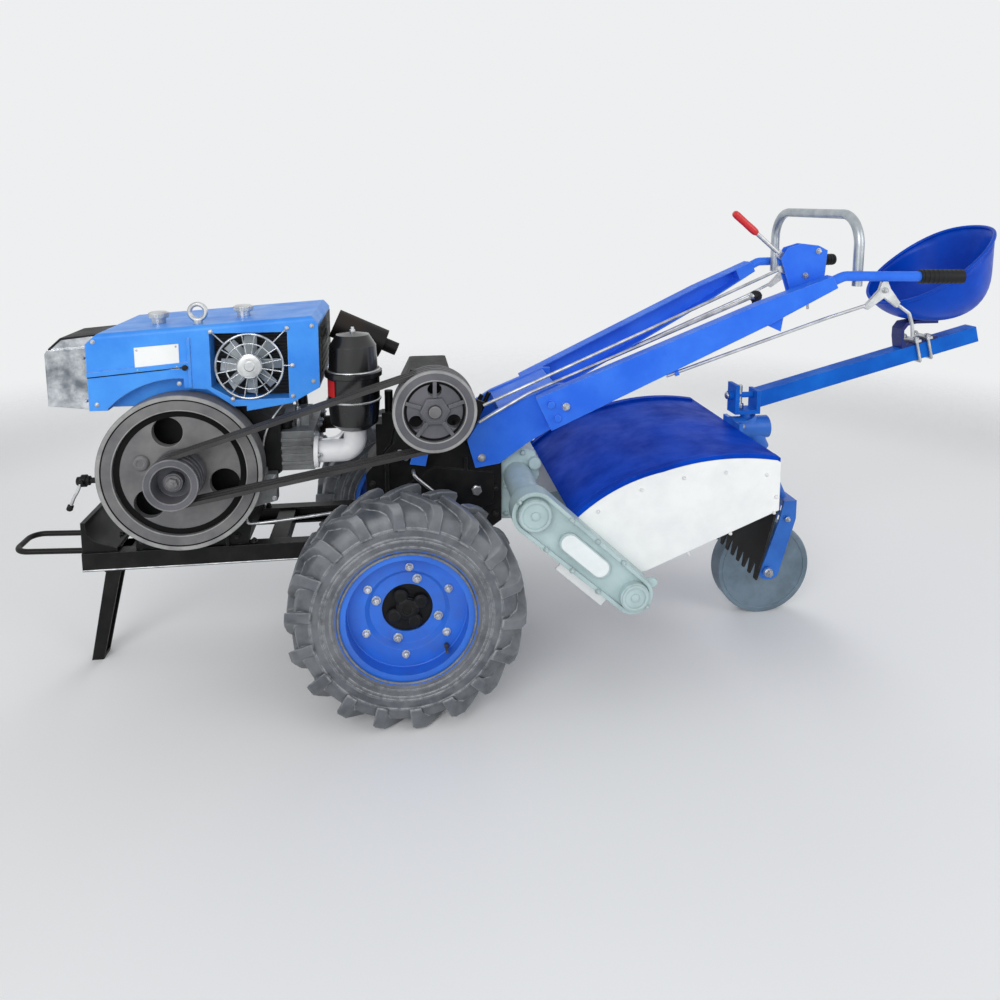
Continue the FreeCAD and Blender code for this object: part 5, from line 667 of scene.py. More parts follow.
def guardWires():
    # round wires in front of the fan
    look = guardLook
    centre = middleOf("fan")
    centre.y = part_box("fan_guard")[0].y + look["out"] * mm
    for label, radius, thick in look["rings"]:
        wires("guard_ring_" + label, [ring(centre, radius, 40)], thick, "chrome", closed=True)
    spokes = []
    for turn in range(look["spokes"]):
        ray = sideRay(look["firstSpoke"] + 360 / look["spokes"] * turn)
        spokes.append([centre + ray * look["spokeFrom"] * mm, centre + ray * look["spokeTo"] * mm])
    ends = []
    for angle, length in look["arms"]:
        ray = sideRay(angle)
        spokes.append([centre + ray * look["armFrom"] * mm, centre + ray * length * mm])
        ends.append(centre + ray * (length - look["boltIn"]) * mm)
    guard = wires("guard_spokes", spokes, look["spokeThick"], "chrome", smooth=False)
    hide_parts("fan_guard")
    boltSet("guard_bolts", ends, left, look["bolt"], "plated")
    turned("guard_disc", [(centre + right * look["discIn"] * mm, left, look["disc"], 40)], "plated")


capLook = dict(
    places=[("fuel", -668, 18), ("radiator", -440, 4)], y=-60,    # x, and how far under the highest cap
    knurls=24, knurlRadius=25.4, knurlDown=9, knurl=[(0, 1.6), (9, 1.6), (10, 0.8)],
    crown=[(0, 14), (3, 13), (4, 0)],
)


def dressCaps():
    look = capLook
    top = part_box("filler_caps")[1].z / mm
    for name, x, down in look["places"]:
        centre = spot(x, look["y"], top - down)
        forms = []
        for turn in range(look["knurls"]):
            angle = 2 * math.pi * turn / look["knurls"]
            ray = Vector((math.cos(angle), math.sin(angle), 0))
            foot = centre + ray * look["knurlRadius"] * mm - up * look["knurlDown"] * mm
            forms.append((foot, up, look["knurl"], 6))
        turned(name + "_cap_top", forms + [(centre, up, look["crown"], 28)], "plated")


dressHood()
makeFins()
dressHoodBack()
dressLamp()
guardWires()
dressCaps()
print("hood done")


# engine, belts and pulleys

crankLook = dict(
    # washer, nut and shaft end in the pulley's mouth: distance out, profile, sides
    nutIn=22, nut=[(0, [(0, 20), (3, 20)], 30), (3, [(0, 15), (9, 15), (11, 12)], 6),
                   (12, [(0, 7), (6, 7), (7, 5)], 16)],
    # groove and lines: dark rings of painted shade; edges: lighter turned metal
    webIn=8, groove=(155, 170, 1), edges=[(203, 213, 0.8), (172.5, 175, 0.8)],
    bossRadius=104, bossAngle=162, boss=[(0, 22), (5, 21), (9, 17), (9.5, 11), (7, 9), (7, 0)],
    lines=(62, 201), shadeLineThick=1.6, lips=(51, 67), lipIn=0.8, lipThick=1.8,
)


def dressCrank():
    look = crankLook
    crank = middleOf("flywheel")
    face = Vector((crank.x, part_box("flywheel")[0].y, crank.z))
    web = face + right * look["webIn"] * mm
    mouth = Vector((crank.x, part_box("engine_pulley")[0].y, crank.z))
    foot = mouth + right * look["nutIn"] * mm
    forms = [(foot + left * out * mm, left, profile, sides) for out, profile, sides in look["nut"]]
    turned("crank_nut", forms, "wheelIron", body="crank")
    # black ring of painted shade in the groove between rim and web, the turned edge of the rim, and two
    # turned lines on it drawn as dark painted shade
    flatRings("flywheel_groove", [(web, look["groove"])], "grooveBlack", "crank")
    flatRings("flywheel_edges", [(face, edge) for edge in look["edges"]], "turnedIron", "crank")
    boss = ring(web, look["bossRadius"], 1, look["bossAngle"])[0]
    turned("flywheel_boss", [(boss, left, look["boss"], 28)], "wheelIron", body="crank")
    wires("flywheel_shade_lines", [ring(face, radius, 60) for radius in look["lines"]], look["shadeLineThick"],
          "grooveBlack", "crank", closed=True)
    lip = mouth + right * look["lipIn"] * mm
    wires("pulley_edges", [ring(lip, radius, 48) for radius in look["lips"]], look["lipThick"], "wheelIron",
          "crank", closed=True)


clutchLook = dict(
    armIn=7.5, collar=[(0, 42), (6, 41), (8, 38), (8, 28), (7, 27)], collarSpin=0.3,
    arms=5, firstArm=18, armOut=3.5, armFrom=38, armTo=81, armWide=10, armThin=7,
    grooveIn=8, groove=(74, 81, 1), edges=[(104, 111, 0.6), (83, 86, 0.6)],
    shaft=[(-3, 17), (0, 17), (2, 15), (2.4, 0)],
)


def dressClutch():
    look = clutchLook
    middle = middleOf("clutch_pulley")
    face = Vector((middle.x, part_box("clutch_pulley")[0].y, middle.z))
    # cast arms and the collar round the hub
    mesh = bmesh.new()
    centre = face + right * look["armIn"] * mm
    turnedForm(mesh, centre, left, look["collar"], 6, look["collarSpin"])
    armFace = centre + left * look["armOut"] * mm
    starts, ends = (ring(armFace, look[key], look["arms"], look["firstArm"]) for key in ("armFrom", "armTo"))
    for start, end in zip(starts, ends):
        bar(mesh, start, end, look["armWide"], look["armThin"])
    keepPiece("clutch_arms", mesh, "pulleyIron", "clutch_wheel", soften=1.5)
    # dark ring of painted shade in the pulley's groove
    flatRings("clutch_groove", [(face + right * look["grooveIn"] * mm, look["groove"])], "grooveBlack",
              "clutch_wheel")
    flatRings("clutch_turned_edges", [(face, edge) for edge in look["edges"]], "turnedIron", "clutch_wheel")
    shaftEnd = Vector((middle.x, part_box("gearbox")[0].y, middle.z))
    turned("clutch_shaft_end", [(shaftEnd, left, look["shaft"], 24)], "wheelIron", slot="black_paint")


pumpLook = dict(
    deep=34, body=atY(-140, (-430, 500), (-350, 520), (-350, 596), (-430, 596)),
    barrelPlace=(-390, -157, 590), barrel=[(0, 15), (20, 15), (22, 10), (36, 10)],
    inletPlace=(-412, -174, 548), inlet=[(0, 18), (6, 18), (8, 12), (18, 12), (19, 9)],
)
# crankcase, cover, head and pump, then pipes, rods and hoses, then the turned parts
engineBolts = {
    "crankcase_bolts_left": (atY(-140, (-724, 410), (-470, 410), (-724, 700), (-640, 770), (-520, 778),
                                 (-455, 760), (-452, 560), (-600, 405)), left, 14, "castBlack"),
    "cover_bolts_right": (atY(162, (-690, 445), (-480, 445), (-440, 560), (-440, 690), (-520, 745),
                              (-660, 745), (-700, 690), (-700, 560)), right, 14, "castBlack"),
    "head_nuts": ([(-249.5, y, z) for y in (-118, -20, 26, 122) for z in (606, 690)], rearward, 15,
                  "brightSteel"),
    "pump_bolts": (atY(-174, (-422, 508), (-358, 528), (-358, 588), (-422, 588)), left, 10, "brightSteel"),
    "elbow_bolts": ([(-238, -158, 640), (-238, -82, 640), (-238, -120, 678)], rearward, 13, "brightSteel"),
}
engineLines = {
    "tap_handle": ([(-877, -134, 580), (-884, -134, 560), (-898, -134, 540), (-907, -134, 514)], 4.6,
                   "plated"),
    "injector_pipe": ([(-300, -70, 758), (-300, -76, 790), (-330, -120, 788), (-372, -152, 730),
                       (-392, -152, 660), (-388, -152, 600)], 3.2, "plated"),
    "stop_rod": ([(-440, -146, 474), (-440, -158, 456), (-426, -158, 448), (-150, -152, 472),
                  (-112, -140, 478), (-104, -106, 480)], 4.0, "brightSteel"),
    "fuel_hose": ([(-400, -176, 545), (-420, -182, 610), (-432, -178, 700), (-448, -150, 780),
                   (-452, -120, 802)], 5.0, "hoseBlack"),
    "water_hose": ([(-300, 60, 704), (-300, 70, 760), (-320, 70, 800), (-330, 70, 812)], 15.0, "hoseBlack"),
    "elbow_ribs": ([(-232, -120, 674), (-176, -120, 674), (-172, -120, 700)], 3.0, "elbowWhite"),
}
engineForms = {
    "drain_tap": ("castBlack", [
        ((-860, -110, 580), forward, [(0, 13), (9, 13), (9, 17), (22, 17), (24, 12), (34, 11)], 16),
        ((-877, -110, 580), left, [(10, 9), (26, 8), (28, 5)], 16),
        ((-907, -134, 516), Vector((-0.4, 0, -1)), [(-6, 4), (-4, 8), (8, 8.5), (11, 6), (12, 0)], 16)]),
    "injector": ("brightSteel", [
        ((-300, -70, 700), up, [(0, 12), (26, 12), (30, 8), (52, 8), (54, 6), (60, 6)], 16),
        ((-300, -70, 724), up, [(0, 14), (12, 14)], 6)]),
    "rocker_breather": ("castBlack", [
        ((-330, -96, 704), up, [(0, 16), (14, 16), (18, 20), (30, 20), (34, 12), (34, 0)], 20)]),
    "oil_filler": ("castBlack", [
        ((-470, -140, 470), Vector((0.15, -1, 0.5)), [(0, 20), (22, 20), (24, 24), (34, 24), (36, 18)], 22)]),
}
drainPipe = dict(points=[(-740, -110, 580), (-872, -110, 580)], thick=8.0)
startDog = dict(place=(-557, 184, 576),
                profile=[(0, 26), (6, 26), (8, 22), (8, 14), (22, 14), (24, 12), (24, 0)])
crankcaseDoor = dict(deep=10, corners=atY(-142, (-700, 470), (-660, 430), (-560, 430), (-520, 470),
                                          (-560, 500), (-660, 500)))


def dressBlock():
    addAll(engineBolts, engineLines, engineForms)
    wires("drain_pipe", [route(drainPipe["points"])], drainPipe["thick"], "castBlack", smooth=False)
    turned("start_dog", [(spot(*startDog["place"]), right, startDog["profile"], 28)], "brightSteel",
           slot="cast_grey")
    plate("crankcase_door", route(crankcaseDoor["corners"]), left * crankcaseDoor["deep"] * mm, "castBlack",
          soften=3)
    mesh = bmesh.new()
    slab(mesh, route(pumpLook["body"]), left * pumpLook["deep"] * mm)
    turnedForm(mesh, spot(*pumpLook["barrelPlace"]), up, pumpLook["barrel"], 18)
    turnedForm(mesh, spot(*pumpLook["inletPlace"]), left, pumpLook["inlet"], 20)
    keepPiece("fuel_pump", mesh, "engineGrey", soften=2)


filterLook = dict(
    bands=[("band_top", 874, 72), ("band_low", 790, 73.5)], bandThick=3.4,    # height and radius
    knobIn=2, knob=[(0, 8), (6, 8), (8, 5), (14, 5)],
    patchLow=806, patchHigh=852, patchInner=73.4, patchOuter=74.4, patchFrom=-2.75, patchTo=-2.3,
    patchSteps=10,
)


def dressFilter():
    look = filterLook
    centre = middleOf("air_filter")

    def around(angle, radius, z):
        reach = radius * mm
        return Vector((centre.x + reach * math.cos(angle), centre.y + reach * math.sin(angle), z * mm))

    # clamp bands, the knob on top, and a plain patch
    for label, z, radius in look["bands"]:
        wires("filter_" + label, [[around(2 * math.pi * turn / 36, radius, z) for turn in range(36)]],
              look["bandThick"], "plated", closed=True)
    knobFoot = Vector((centre.x, centre.y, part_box("air_filter")[1].z - look["knobIn"] * mm))
    turned("filter_knob", [(knobFoot, up, look["knob"], 12)], "plated")
    low, high, inner, outer = (look["patch" + word] for word in ("Low", "High", "Inner", "Outer"))
    mesh = bmesh.new()
    rows = []
    for step in range(look["patchSteps"] + 1):
        angle = look["patchFrom"] + (look["patchTo"] - look["patchFrom"]) * step / look["patchSteps"]
        rows.append([mesh.verts.new(around(angle, radius, z))
                     for radius, z in ((inner, low), (outer, low), (outer, high), (inner, high))])
    joinRows(mesh, rows)
    mesh.faces.new(rows[0])
    mesh.faces.new(rows[-1][::-1])
    keepPiece("filter_patch", mesh, "labelRed")


dressCrank()
dressClutch()
dressBlock()
dressFilter()
print("engine done")


# gearbox and frame

gearboxLook = dict(
    y=105, bolts=[(-92, 300), (-92, 380), (-92, 460), (-92, 530), (-60, 240), (20, 238), (90, 240), (40, 640),
                  (-20, 620), (150, 640), (150, 700), (120, 840), (60, 846), (268, 420), (268, 500),
                  (268, 580)],
    bolt=15, housingY=119, housingZ=306, housingRadius=72,
    clutchCase=(82, -184, 792), clutchCaseRadius=54, clutchCaseBolt=13,
)
gearLever = [(0, 26), (20, 24), (34, 14), (60, 8)]
gearboxForms = {
    "gearbox_plugs": ("brightSteel", [((210, -113, 500), left, [(0, 16), (8, 16), (10, 12), (16, 12)], 6)]),
    "shift_forks": ("castBlack", [((190, -40, 640), Vector((0.5, 0, 1)), gearLever + [(150, 7)], 18),
                                  ((190, 40, 640), Vector((0.5, 0, 1)), gearLever + [(120, 7)], 18)]),
}
# small blue bracket with its bolts, and the pale rod that runs down behind the wheel
gearboxBolts = {"side_bracket_bolts": ([(-12, -109, 622), (6, -109, 604), (52, -114, 620)], left, 13,
                                       "brightSteel")}
gearboxLines = {"side_rod": ([(26, -108, 566), (26, -124, 562), (32, -126, 550), (104, -126, 488),
                              (114, -124, 476), (114, -108, 474)], 5.5, "brightSteel")}
sideBracket = dict(thick=6, corners=atY(-108, (16, 586), (62, 578), (72, 628), (30, 640)))


def dressGearbox():
    look = gearboxLook
    for name, side, way in bothSides:
        places = onFace(side * look["y"], look["bolts"])
        boltSet("gearbox_bolts_" + name, places, way, look["bolt"], "castBlack")
        housing = spot(0, side * look["housingY"], look["housingZ"])
        boltSet("housing_bolts_" + name, ring(housing, look["housingRadius"], 6, 30), way, look["bolt"],
                "castBlack")
    boltSet("clutch_case_bolts", ring(spot(*look["clutchCase"]), look["clutchCaseRadius"], 6), left,
            look["clutchCaseBolt"], "brightSteel")
    addAll(gearboxBolts, gearboxLines, gearboxForms)
    plate("side_bracket", route(sideBracket["corners"]), left * sideBracket["thick"] * mm, "handleBlue",
          soften=1)


frameBolts = {
    "rail_bolts": ([(x, y, 385) for y in (-131, 131) for x in (-868, -806, -728, -698, -462, -426)], up, 15,
                   "frameBlack"),
    "nose_bolts": ([(-790, y, 420) for y in (-110, 110)], rearward, 14, "frameBlack"),
    "stand_pin_nuts": ([(-842, -43, 298)], left, 15, "brightSteel"),
    "stand_pin_head": ([(-842, 43, 298)], right, 15, "brightSteel"),
}
railEdgeHighlight = dict(y=149, thick=2.4, ends=[(-881, 336), (-112, 336)])


def dressFrame():
    addAll(frameBolts)
    # a bright wire along the lower edge of the rails: a painted highlight of the lit edge
    for name, side, way in bothSides:
        wires("rail_edge_highlight_" + name, [onFace(side * railEdgeHighlight["y"], railEdgeHighlight["ends"])], railEdgeHighlight["thick"],
              "brightSteel", smooth=False)


dressGearbox()
dressFrame()
print("gearbox and frame done")


# handles, controls and seat

handleLook = dict(
    basePlace=(225, 600), baseY=123.5, baseBolt=18,
    # the line of a handlebar, and how far along it its bolt sits
    nearEnd=(402, 150, 735), farEnd=(1205, 262, 1116), along=64, boltY=190.5, bolt=17,
    gripFront=306, gripBack=328, gripZ=1131, gripRings=9,
    gripRing=[(-2, 19.4), (-1.2, 20.6), (1.2, 20.6), (2, 19.4)],
    pinPlace=(1345, 1092), pinY=294.5, pin=13,
)


def dressHandles():
    look = handleLook
    for name, side, way in bothSides:
        boltSet("base_bolt_" + name, onFace(side * look["baseY"], [look["basePlace"]]), way, look["baseBolt"],
                "brightSteel")
        near, far = (spot(x, side * y, z) for x, y, z in (look["nearEnd"], look["farEnd"]))
        place = near + (far - near).normalized() * look["along"] * mm
        place.y = side * look["boltY"] * mm
        boltSet("handle_bolt_" + name, [place], way, look["bolt"], "brightSteel")
        low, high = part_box("hand_grips")
        start = Vector((low.x, side * look["gripFront"] * mm, look["gripZ"] * mm))
        end = Vector((high.x, side * look["gripBack"] * mm, look["gripZ"] * mm))
        count = look["gripRings"]
        turned("grip_rings_" + name, [(start + (end - start) * ((turn + 1) / (count + 1)), end - start,
                                       look["gripRing"], 28) for turn in range(count)], "gripRubber")
    for name, side, way in bothSides:
        boltSet("steering_pin_" + name, onFace(side * look["pinY"], [look["pinPlace"]]), way, look["pin"],
                "brightSteel")


leverLook = dict(
    tip=(937, -193, 1308), pivot=(1152, -193, 1128), foot=(1083, -193, 1146.5), rod=6.2, rodShare=0.66,
    gripLength=92, gripIn=4, barShare=0.62, barWide=20, footWide=19, thin=7, pivotRadius=15, footRadius=10,
    eye=14,
    grip=[(-2, 0), (-1, 6), (3, 9.6), (12, 11), (46, 10.4), (74, 11), (86, 10.2), (92, 7.5)],
)


def makeLever():
    look = leverLook
    tip, pivot, foot = (spot(*look[key]) for key in ("tip", "pivot", "foot"))
    way = (pivot - tip).normalized()
    length = (pivot - tip).length / mm
    mesh = bmesh.new()
    rodEnd = length * look["rodShare"] - look["gripLength"]
    turnedForm(mesh, tip + way * (look["gripLength"] - look["gripIn"]) * mm, way,
               [(0, look["rod"]), (rodEnd, look["rod"])])
    bar(mesh, tip + way * length * look["barShare"] * mm, pivot, look["barWide"], look["thin"])
    bar(mesh, foot, pivot, look["footWide"], look["thin"])
    for place, radius in ((pivot, look["pivotRadius"]), (foot, look["footRadius"])):
        turnedForm(mesh, place + right * look["eye"] / 2 * mm, left, [(0, radius), (look["eye"], radius)])
    arm = keepPiece("lever_arm", mesh, "plated", slot="lever_red", soften=0.8)
    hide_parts("clutch_lever")
    turned("lever_grip", [(tip, way, look["grip"], 28)], "leverRed")


controlBolts = {"quadrant_bolts": ([(1152, -208, 1128), (1189, -208, 1198), (1197, -208, 1108)], left, 13,
                                   "brightSteel")}
# black knob over the ball of the gear rod
gearKnob = dict(place=(1034, -140, 1040), way=Vector((0.18, 0, 1)),
                profile=[(-2, 7), (4, 8), (10, 14), (20, 18), (30, 17), (38, 10), (40, 0)])


def dressControls():
    addAll(controlBolts)
    makeLever()
    turned("gear_knob", [(spot(*gearKnob["place"]), gearKnob["way"], gearKnob["profile"], 24)], "gripRubber",
           angle=60)


seatLook = dict(lip=34, top=314, curl=22.0, margin=30, sheet=4.0, roll=5.5, turns=96, rows=18, crowd=2.2,
                fullness=2.4, steepness=1.9)


def makeSeat():
    look = seatLook
    low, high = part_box("seat_pan")
    radius = (high.y - low.y) / 2 / mm - look["margin"]
    tall = (high.z - low.z) / mm
    middle = Vector((high.x - (radius + look["margin"]) * mm, (low.y + high.y) / 2, low.z))

    def wall(z):
        # how far the bowl's wall stands from its middle at a height over its underside
        share = min(1, z / tall * look["steepness"])
        return radius * (1 - (1 - share) ** look["fullness"]) ** (1 / look["fullness"])

    def softLower(a, b):
        # the smaller of two heights, with a soft turn between them
        return -look["curl"] * math.log(math.exp(-a / look["curl"]) + math.exp(-b / look["curl"]))

    def edge(angle):
        # the height at which the wall ends: a low lip in front, sides that slant up to the rounded back
        below, above = 0.0, tall
        for step in range(30):
            z = (below + above) / 2
            share = (wall(z) * math.cos(angle) + radius) / (2 * radius)
            slant = look["lip"] + (look["top"] - look["lip"]) * share
            if z < softLower(slant, look["top"]):
                below = z
            else:
                above = z
        return below

    mesh = bmesh.new()
    bottom = mesh.verts.new(middle)
    columns, rim = [], []
    for turn in range(look["turns"]):
        angle = 2 * math.pi * turn / look["turns"]
        ray = Vector((math.cos(angle), math.sin(angle), 0))
        top = edge(angle)
        heights = [top * ((row + 1) / look["rows"]) ** look["crowd"] for row in range(look["rows"])]
        columns.append([mesh.verts.new(middle + ray * (wall(z) * mm) + up * (z * mm)) for z in heights])
        rim.append(middle + ray * ((wall(top) - look["sheet"] / 2) * mm) + up * (top * mm))
    for here, there in zip(columns, columns[1:] + columns[:1]):
        mesh.faces.new((bottom, there[0], here[0]))
        for row in range(look["rows"] - 1):
            mesh.faces.new((here[row], there[row], there[row + 1], here[row + 1]))
    pan = keepPiece("seat_bucket", mesh, "seatBlue", angle=60)
    skin = pan.modifiers.new("sheet", "SOLIDIFY")
    skin.thickness = look["sheet"] * mm
    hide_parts("seat_pan")
    wires("seat_rim", [rim], look["roll"], "seatBlue", closed=True)


beamLook = dict(foot=(1122, 0, 718), rise=14.6, length=759, half=23, endThick=2)
seatBolts = {"seat_bolts": ([(x, y, 964.5) for x in (1650, 1702) for y in (-18, 18)], up, 11, "brightSteel")}


def dressSeat():
    look = beamLook
    makeSeat()
    addAll(seatBolts)
    # end plate of the beam
    along = sideRay(look["rise"])
    across = sideRay(look["rise"] + 90)
    end = spot(*look["foot"]) + along * look["length"] * mm
    corners = [end + (across * a + right * b) * look["half"] * mm
               for a, b in ((-1, -1), (-1, 1), (1, 1), (1, -1))]
    plate("beam_end_plate", corners, along * look["endThick"] * mm, "coverBlue", soften=1)


dressHandles()
dressControls()
dressSeat()
print("handles and seat done")


# rotary tiller and tail wheel

caseLook = dict(
    upper=(334, -392, 531), lower=(606, -392, 287), shares=(0.24, 0.5, 0.76), rimHalf=51.5, upperEnd=54,
    lowerEnd=48, bolt=12,
    capOut=12.5, capRadii=(42, 36), capWide=8, capDeep=4, plug=[(0, 12), (3, 12), (5, 9), (5.4, 0)],
    padOut=2, padHalf=56, padRadius=24, padThick=1.6, padSteps=12,
    stripPlace=(424, -333, 376), stripLong=172, stripWide=34, stripThick=8,
)


def dressGearCase():
    look = caseLook
    upper, lower = spot(*look["upper"]), spot(*look["lower"])
    along = (lower - upper).normalized()
    square = Vector((-along.z, 0, along.x))
    # bolts round the rim of the side gear case and at its ends
    places = [upper.lerp(lower, share) + square * side * look["rimHalf"] * mm
              for share in look["shares"] for side in (-1, 1)]
    places += [upper - along * look["upperEnd"] * mm, lower + along * look["lowerEnd"] * mm]
    boltSet("gear_case_bolts", places, left, look["bolt"], "gearGreen")
    # raised rings of the two caps, each with a small plug in its middle
    mesh = bmesh.new()
    for centre, radius in zip((upper, lower), look["capRadii"]):
        face = centre + left * look["capOut"] * mm
        flatRing(mesh, face, left, radius - look["capWide"], radius, look["capDeep"])
        turnedForm(mesh, face, left, look["plug"], 28)
    keepPiece("cap_rings", mesh, "gearGreen", soften=1)
    # white pad on the case and the white strip behind it
    middle = upper.lerp(lower, 0.5) + left * look["padOut"] * mm
    outline = []
    for side in (1, -1):
        for turn in range(look["padSteps"] + 1):
            angle = math.pi * (turn / look["padSteps"] - 0.5)
            ray = along * side * math.cos(angle) + square * side * math.sin(angle)
            outline.append(middle + along * side * look["padHalf"] * mm + ray * look["padRadius"] * mm)
    plate("case_pad", outline, left * look["padThick"] * mm, "padWhite", soften=1.2)
    start = spot(*look["stripPlace"])
    end = start + along * look["stripLong"] * mm
    wide = square * look["stripWide"] * mm
    plate("lower_strip", [start, end, end - wide, start - wide], left * look["stripThick"] * mm, "panelWhite",
          soften=2)


tillerLook = dict(
    panelY=332, panelBolts=[(520, 505), (640, 560), (760, 588), (880, 598), (1000, 585), (1030, 520),
                            (1026, 474), (900, 420), (780, 368)], panelBolt=8,
    # bolts round the bearing and the tube's cap: middle, radius, count, first angle
    circles={"bearing_bolts": ((606, 363, 287), 30, 4, 45), "tube_cap_bolts": ((334, 363, 531), 33, 6, 0)},
    circleBolt=12,
)
tillerBolts = {
    "input_case_bolts": (atY(-92, (300, 415), (300, 500), (300, 590), (350, 600), (388, 580), (370, 490)),
                         left, 13, "gearGreen"),
    "comb_bolts": ([(1046, y, 596) for y in (-290, -210, -130, 130, 210, 290)], rearward, 13, "brightSteel"),
}


def dressTiller():
    look = tillerLook
    for name, side, way in bothSides:
        places = onFace(side * look["panelY"], look["panelBolts"])
        boltSet("panel_bolts_" + name, places, way, look["panelBolt"], "elbowWhite", slot="panel_white")
    for name, (middle, radius, count, first) in look["circles"].items():
        boltSet(name, ring(spot(*middle), radius, count, first), right, look["circleBolt"], "gearGreen")
    addAll(tillerBolts)


tailLook = dict(wheel=(1157, 155), ringY=30, ringRadius=138, ringThick=2.0)
tailBolts = {
    "fork_nut_left": ([(1157, -65, 155)], left, 22, "brightSteel"),
    "fork_nut_right": ([(1157, 65, 155)], right, 22, "brightSteel"),
    "fork_bolt_left": ([(1216, -62, 330)], left, 13, "brightSteel"),
    "sleeve_bolts": ([(1053, y, z) for y in (-50, 50) for z in (596, 640)], rearward, 13, "brightSteel"),
}
# nut in front of the clevis, and the pin's head and shank
tailForms = {
    "hitch_pin": ("chrome", [((1025, 0, 728), forward, [(0, 12), (4, 12), (6, 9), (6, 0)], 24),
                             ((1066, 0, 684), up, [(0, 13), (16, 13), (18, 10)], 6),
                             ((1066, 0, 700), up, [(0, 8), (60, 8), (62, 6)], 16)]),
}


def dressTail():
    look = tailLook
    addAll(tailBolts, forms=tailForms)
    for name, side, way in bothSides:
        centre = onFace(side * look["ringY"], [look["wheel"]])[0]
        wires("tail_ring_" + name, [ring(centre, look["ringRadius"], 60)], look["ringThick"], "tailSteel",
              "trailing_wheel", closed=True)


dressGearCase()
dressTiller()
dressTail()
print("tiller and tail done")


# floor, light and camera

studio = dict(
    floor=(242, 243, 244), wall=(238, 239, 240), ambient=0.62, size=6, thick=0.02, near=2.6, far=5.2,
    # name, place, target, width, power
    lamps=[("key", (-2.2, -4.6, 2.9), (0.0, 0.0, 0.5), 3.6, 125),
           ("fill", (3.6, -3.4, 2.4), (0.2, 0.0, 0.5), 3.4, 45),
           ("back", (0.4, 4.6, 3.4), (0.0, 0.0, 0.6), 3.4, 62)],
)
view = dict(place=(-12.3, -2311.7, 1343.7), turn=7.437, tilt=7.73, roll=-0.1, focal=782.0,
            centre=(498.0, 306.5), picture=1000, film=36)


def joinShaders(tree, factor, first, second, end):
    # two shaders mixed by a factor into the tree's last node
    both = tree.nodes.new("ShaderNodeMixShader")
    for socket, source in zip(both.inputs, (factor, first, second)):
        tree.links.new(source, socket)
    tree.links.new(both.outputs[0], tree.nodes[end].inputs["Surface"])


def makeFloor():
    half = studio["size"]
    mesh = bmesh.new()
    slab(mesh, [Vector((x, y, -studio["thick"])) for x, y in ((-half, -half), (half, -half), (half, half),
                                                              (-half, half))], up * studio["thick"])
    bmesh.ops.recalc_face_normals(mesh, faces=mesh.faces)
    data = bpy.data.meshes.new("floor")
    mesh.to_mesh(data)
    mesh.free()
    floor = bpy.data.objects.new("floor", data)
    bpy.context.scene.collection.objects.link(floor)
    material = bpy.data.materials.new("floorPaint")
    material.use_nodes = True
    tree = material.node_tree
    shader = tree.nodes["Principled BSDF"]
    shader.inputs["Base Color"].default_value = shade(*studio["floor"])
    shader.inputs["Roughness"].default_value = 0.7
    shader.inputs["Specular IOR Level"].default_value = 0.15
    # the floor fades into the plain wall a few metres away
    place = tree.nodes.new("ShaderNodeTexCoord")
    distance = tree.nodes.new("ShaderNodeVectorMath")
    distance.operation = "LENGTH"
    tree.links.new(place.outputs["Object"], distance.inputs[0])
    fade = tree.nodes.new("ShaderNodeMapRange")
    fade.interpolation_type = "SMOOTHSTEP"
    fade.inputs["From Min"].default_value = studio["near"]
    fade.inputs["From Max"].default_value = studio["far"]
    tree.links.new(distance.outputs["Value"], fade.inputs["Value"])
    clear = tree.nodes.new("ShaderNodeBsdfTransparent")
    joinShaders(tree, fade.outputs["Result"], shader.outputs[0], clear.outputs[0], "Material Output")
    data.materials.append(material)


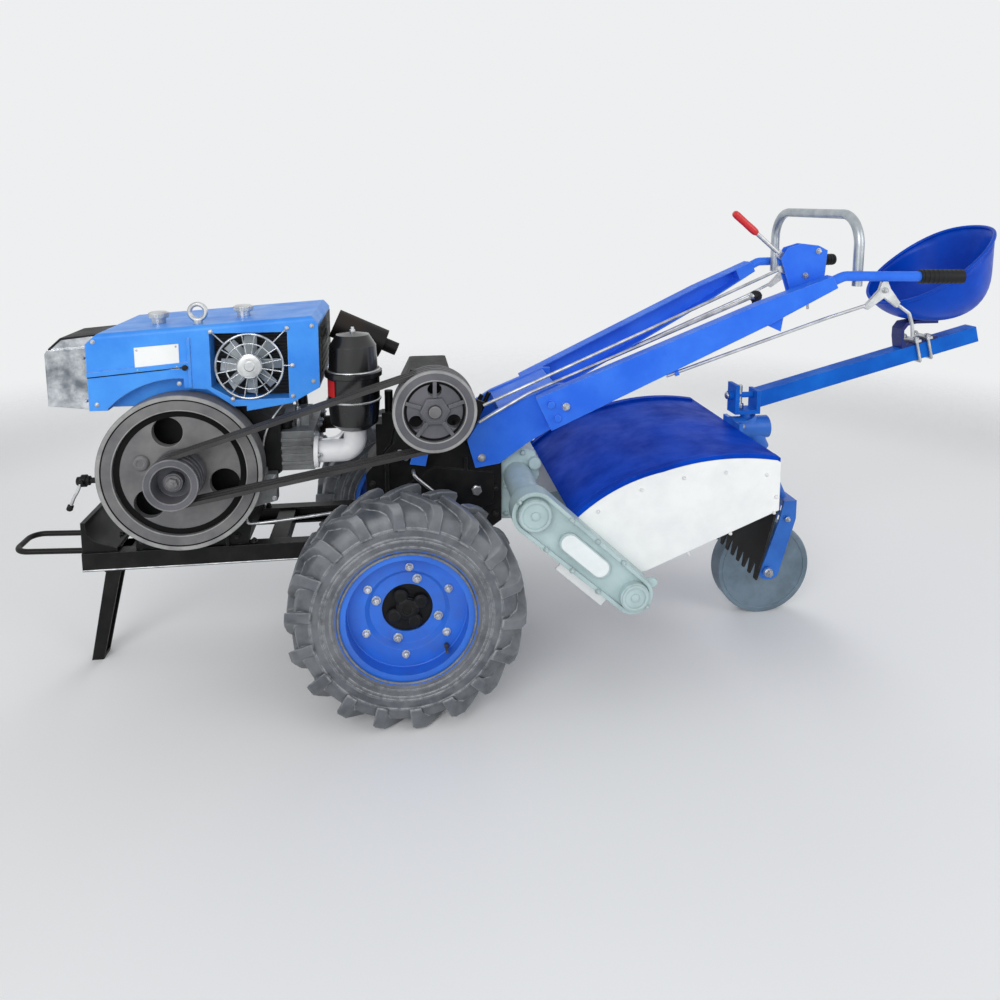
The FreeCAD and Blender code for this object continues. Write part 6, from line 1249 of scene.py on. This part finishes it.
def makeWall():
    # the wall is plain where the camera or a gloss sees it, and dimmer as a light
    world = bpy.data.worlds.new("studio")
    bpy.context.scene.world = world
    world.use_nodes = True
    tree = world.node_tree
    background = tree.nodes["Background"]
    plain = tree.nodes.new("ShaderNodeBackground")
    for node, strength in ((background, studio["ambient"]), (plain, 1.0)):
        node.inputs["Color"].default_value = shade(*studio["wall"])
        node.inputs["Strength"].default_value = strength
    rays = tree.nodes.new("ShaderNodeLightPath")
    seen = tree.nodes.new("ShaderNodeMath")
    seen.operation = "MAXIMUM"
    tree.links.new(rays.outputs["Is Camera Ray"], seen.inputs[0])
    tree.links.new(rays.outputs["Is Glossy Ray"], seen.inputs[1])
    joinShaders(tree, seen.outputs[0], background.outputs[0], plain.outputs[0], "World Output")


def makeLamps():
    for name, place, target, width, power in studio["lamps"]:
        lamp = bpy.data.lights.new(name, "AREA")
        lamp.shape = "DISK"
        lamp.size = width
        lamp.energy = power
        holder = bpy.data.objects.new(name, lamp)
        bpy.context.scene.collection.objects.link(holder)
        holder.location = place
        holder.rotation_euler = (Vector(target) - Vector(place)).to_track_quat("-Z", "Y").to_euler()
        # the lamp behind gives no sheen on the flat tops
        holder.visible_glossy = name != "back"


def makeCamera():
    camera = bpy.data.cameras.new("camera")
    camera.sensor_fit = "HORIZONTAL"
    camera.sensor_width = view["film"]
    camera.lens = view["film"] * view["focal"] / view["picture"]
    camera.shift_x = (view["picture"] / 2 - view["centre"][0]) / view["picture"]
    camera.shift_y = (view["centre"][1] - view["picture"] / 2) / view["picture"]
    holder = bpy.data.objects.new("camera", camera)
    bpy.context.scene.collection.objects.link(holder)
    turn, tilt, roll = (math.radians(view[key]) for key in ("turn", "tilt", "roll"))
    ahead = Vector((math.sin(turn) * math.cos(tilt), math.cos(turn) * math.cos(tilt), -math.sin(tilt)))
    aside = Vector((math.cos(turn), -math.sin(turn), 0))
    above = aside.cross(ahead)
    aside, above = (aside * math.cos(roll) + above * math.sin(roll),
                    above * math.cos(roll) - aside * math.sin(roll))
    axes = Matrix((aside, above, -ahead)).transposed().to_4x4()
    holder.matrix_world = Matrix.Translation(spot(*view["place"])) @ axes
    bpy.context.scene.camera = holder


makeFloor()
makeWall()
makeLamps()
makeCamera()
bpy.context.scene.view_settings.view_transform = "Standard"
print("studio done")
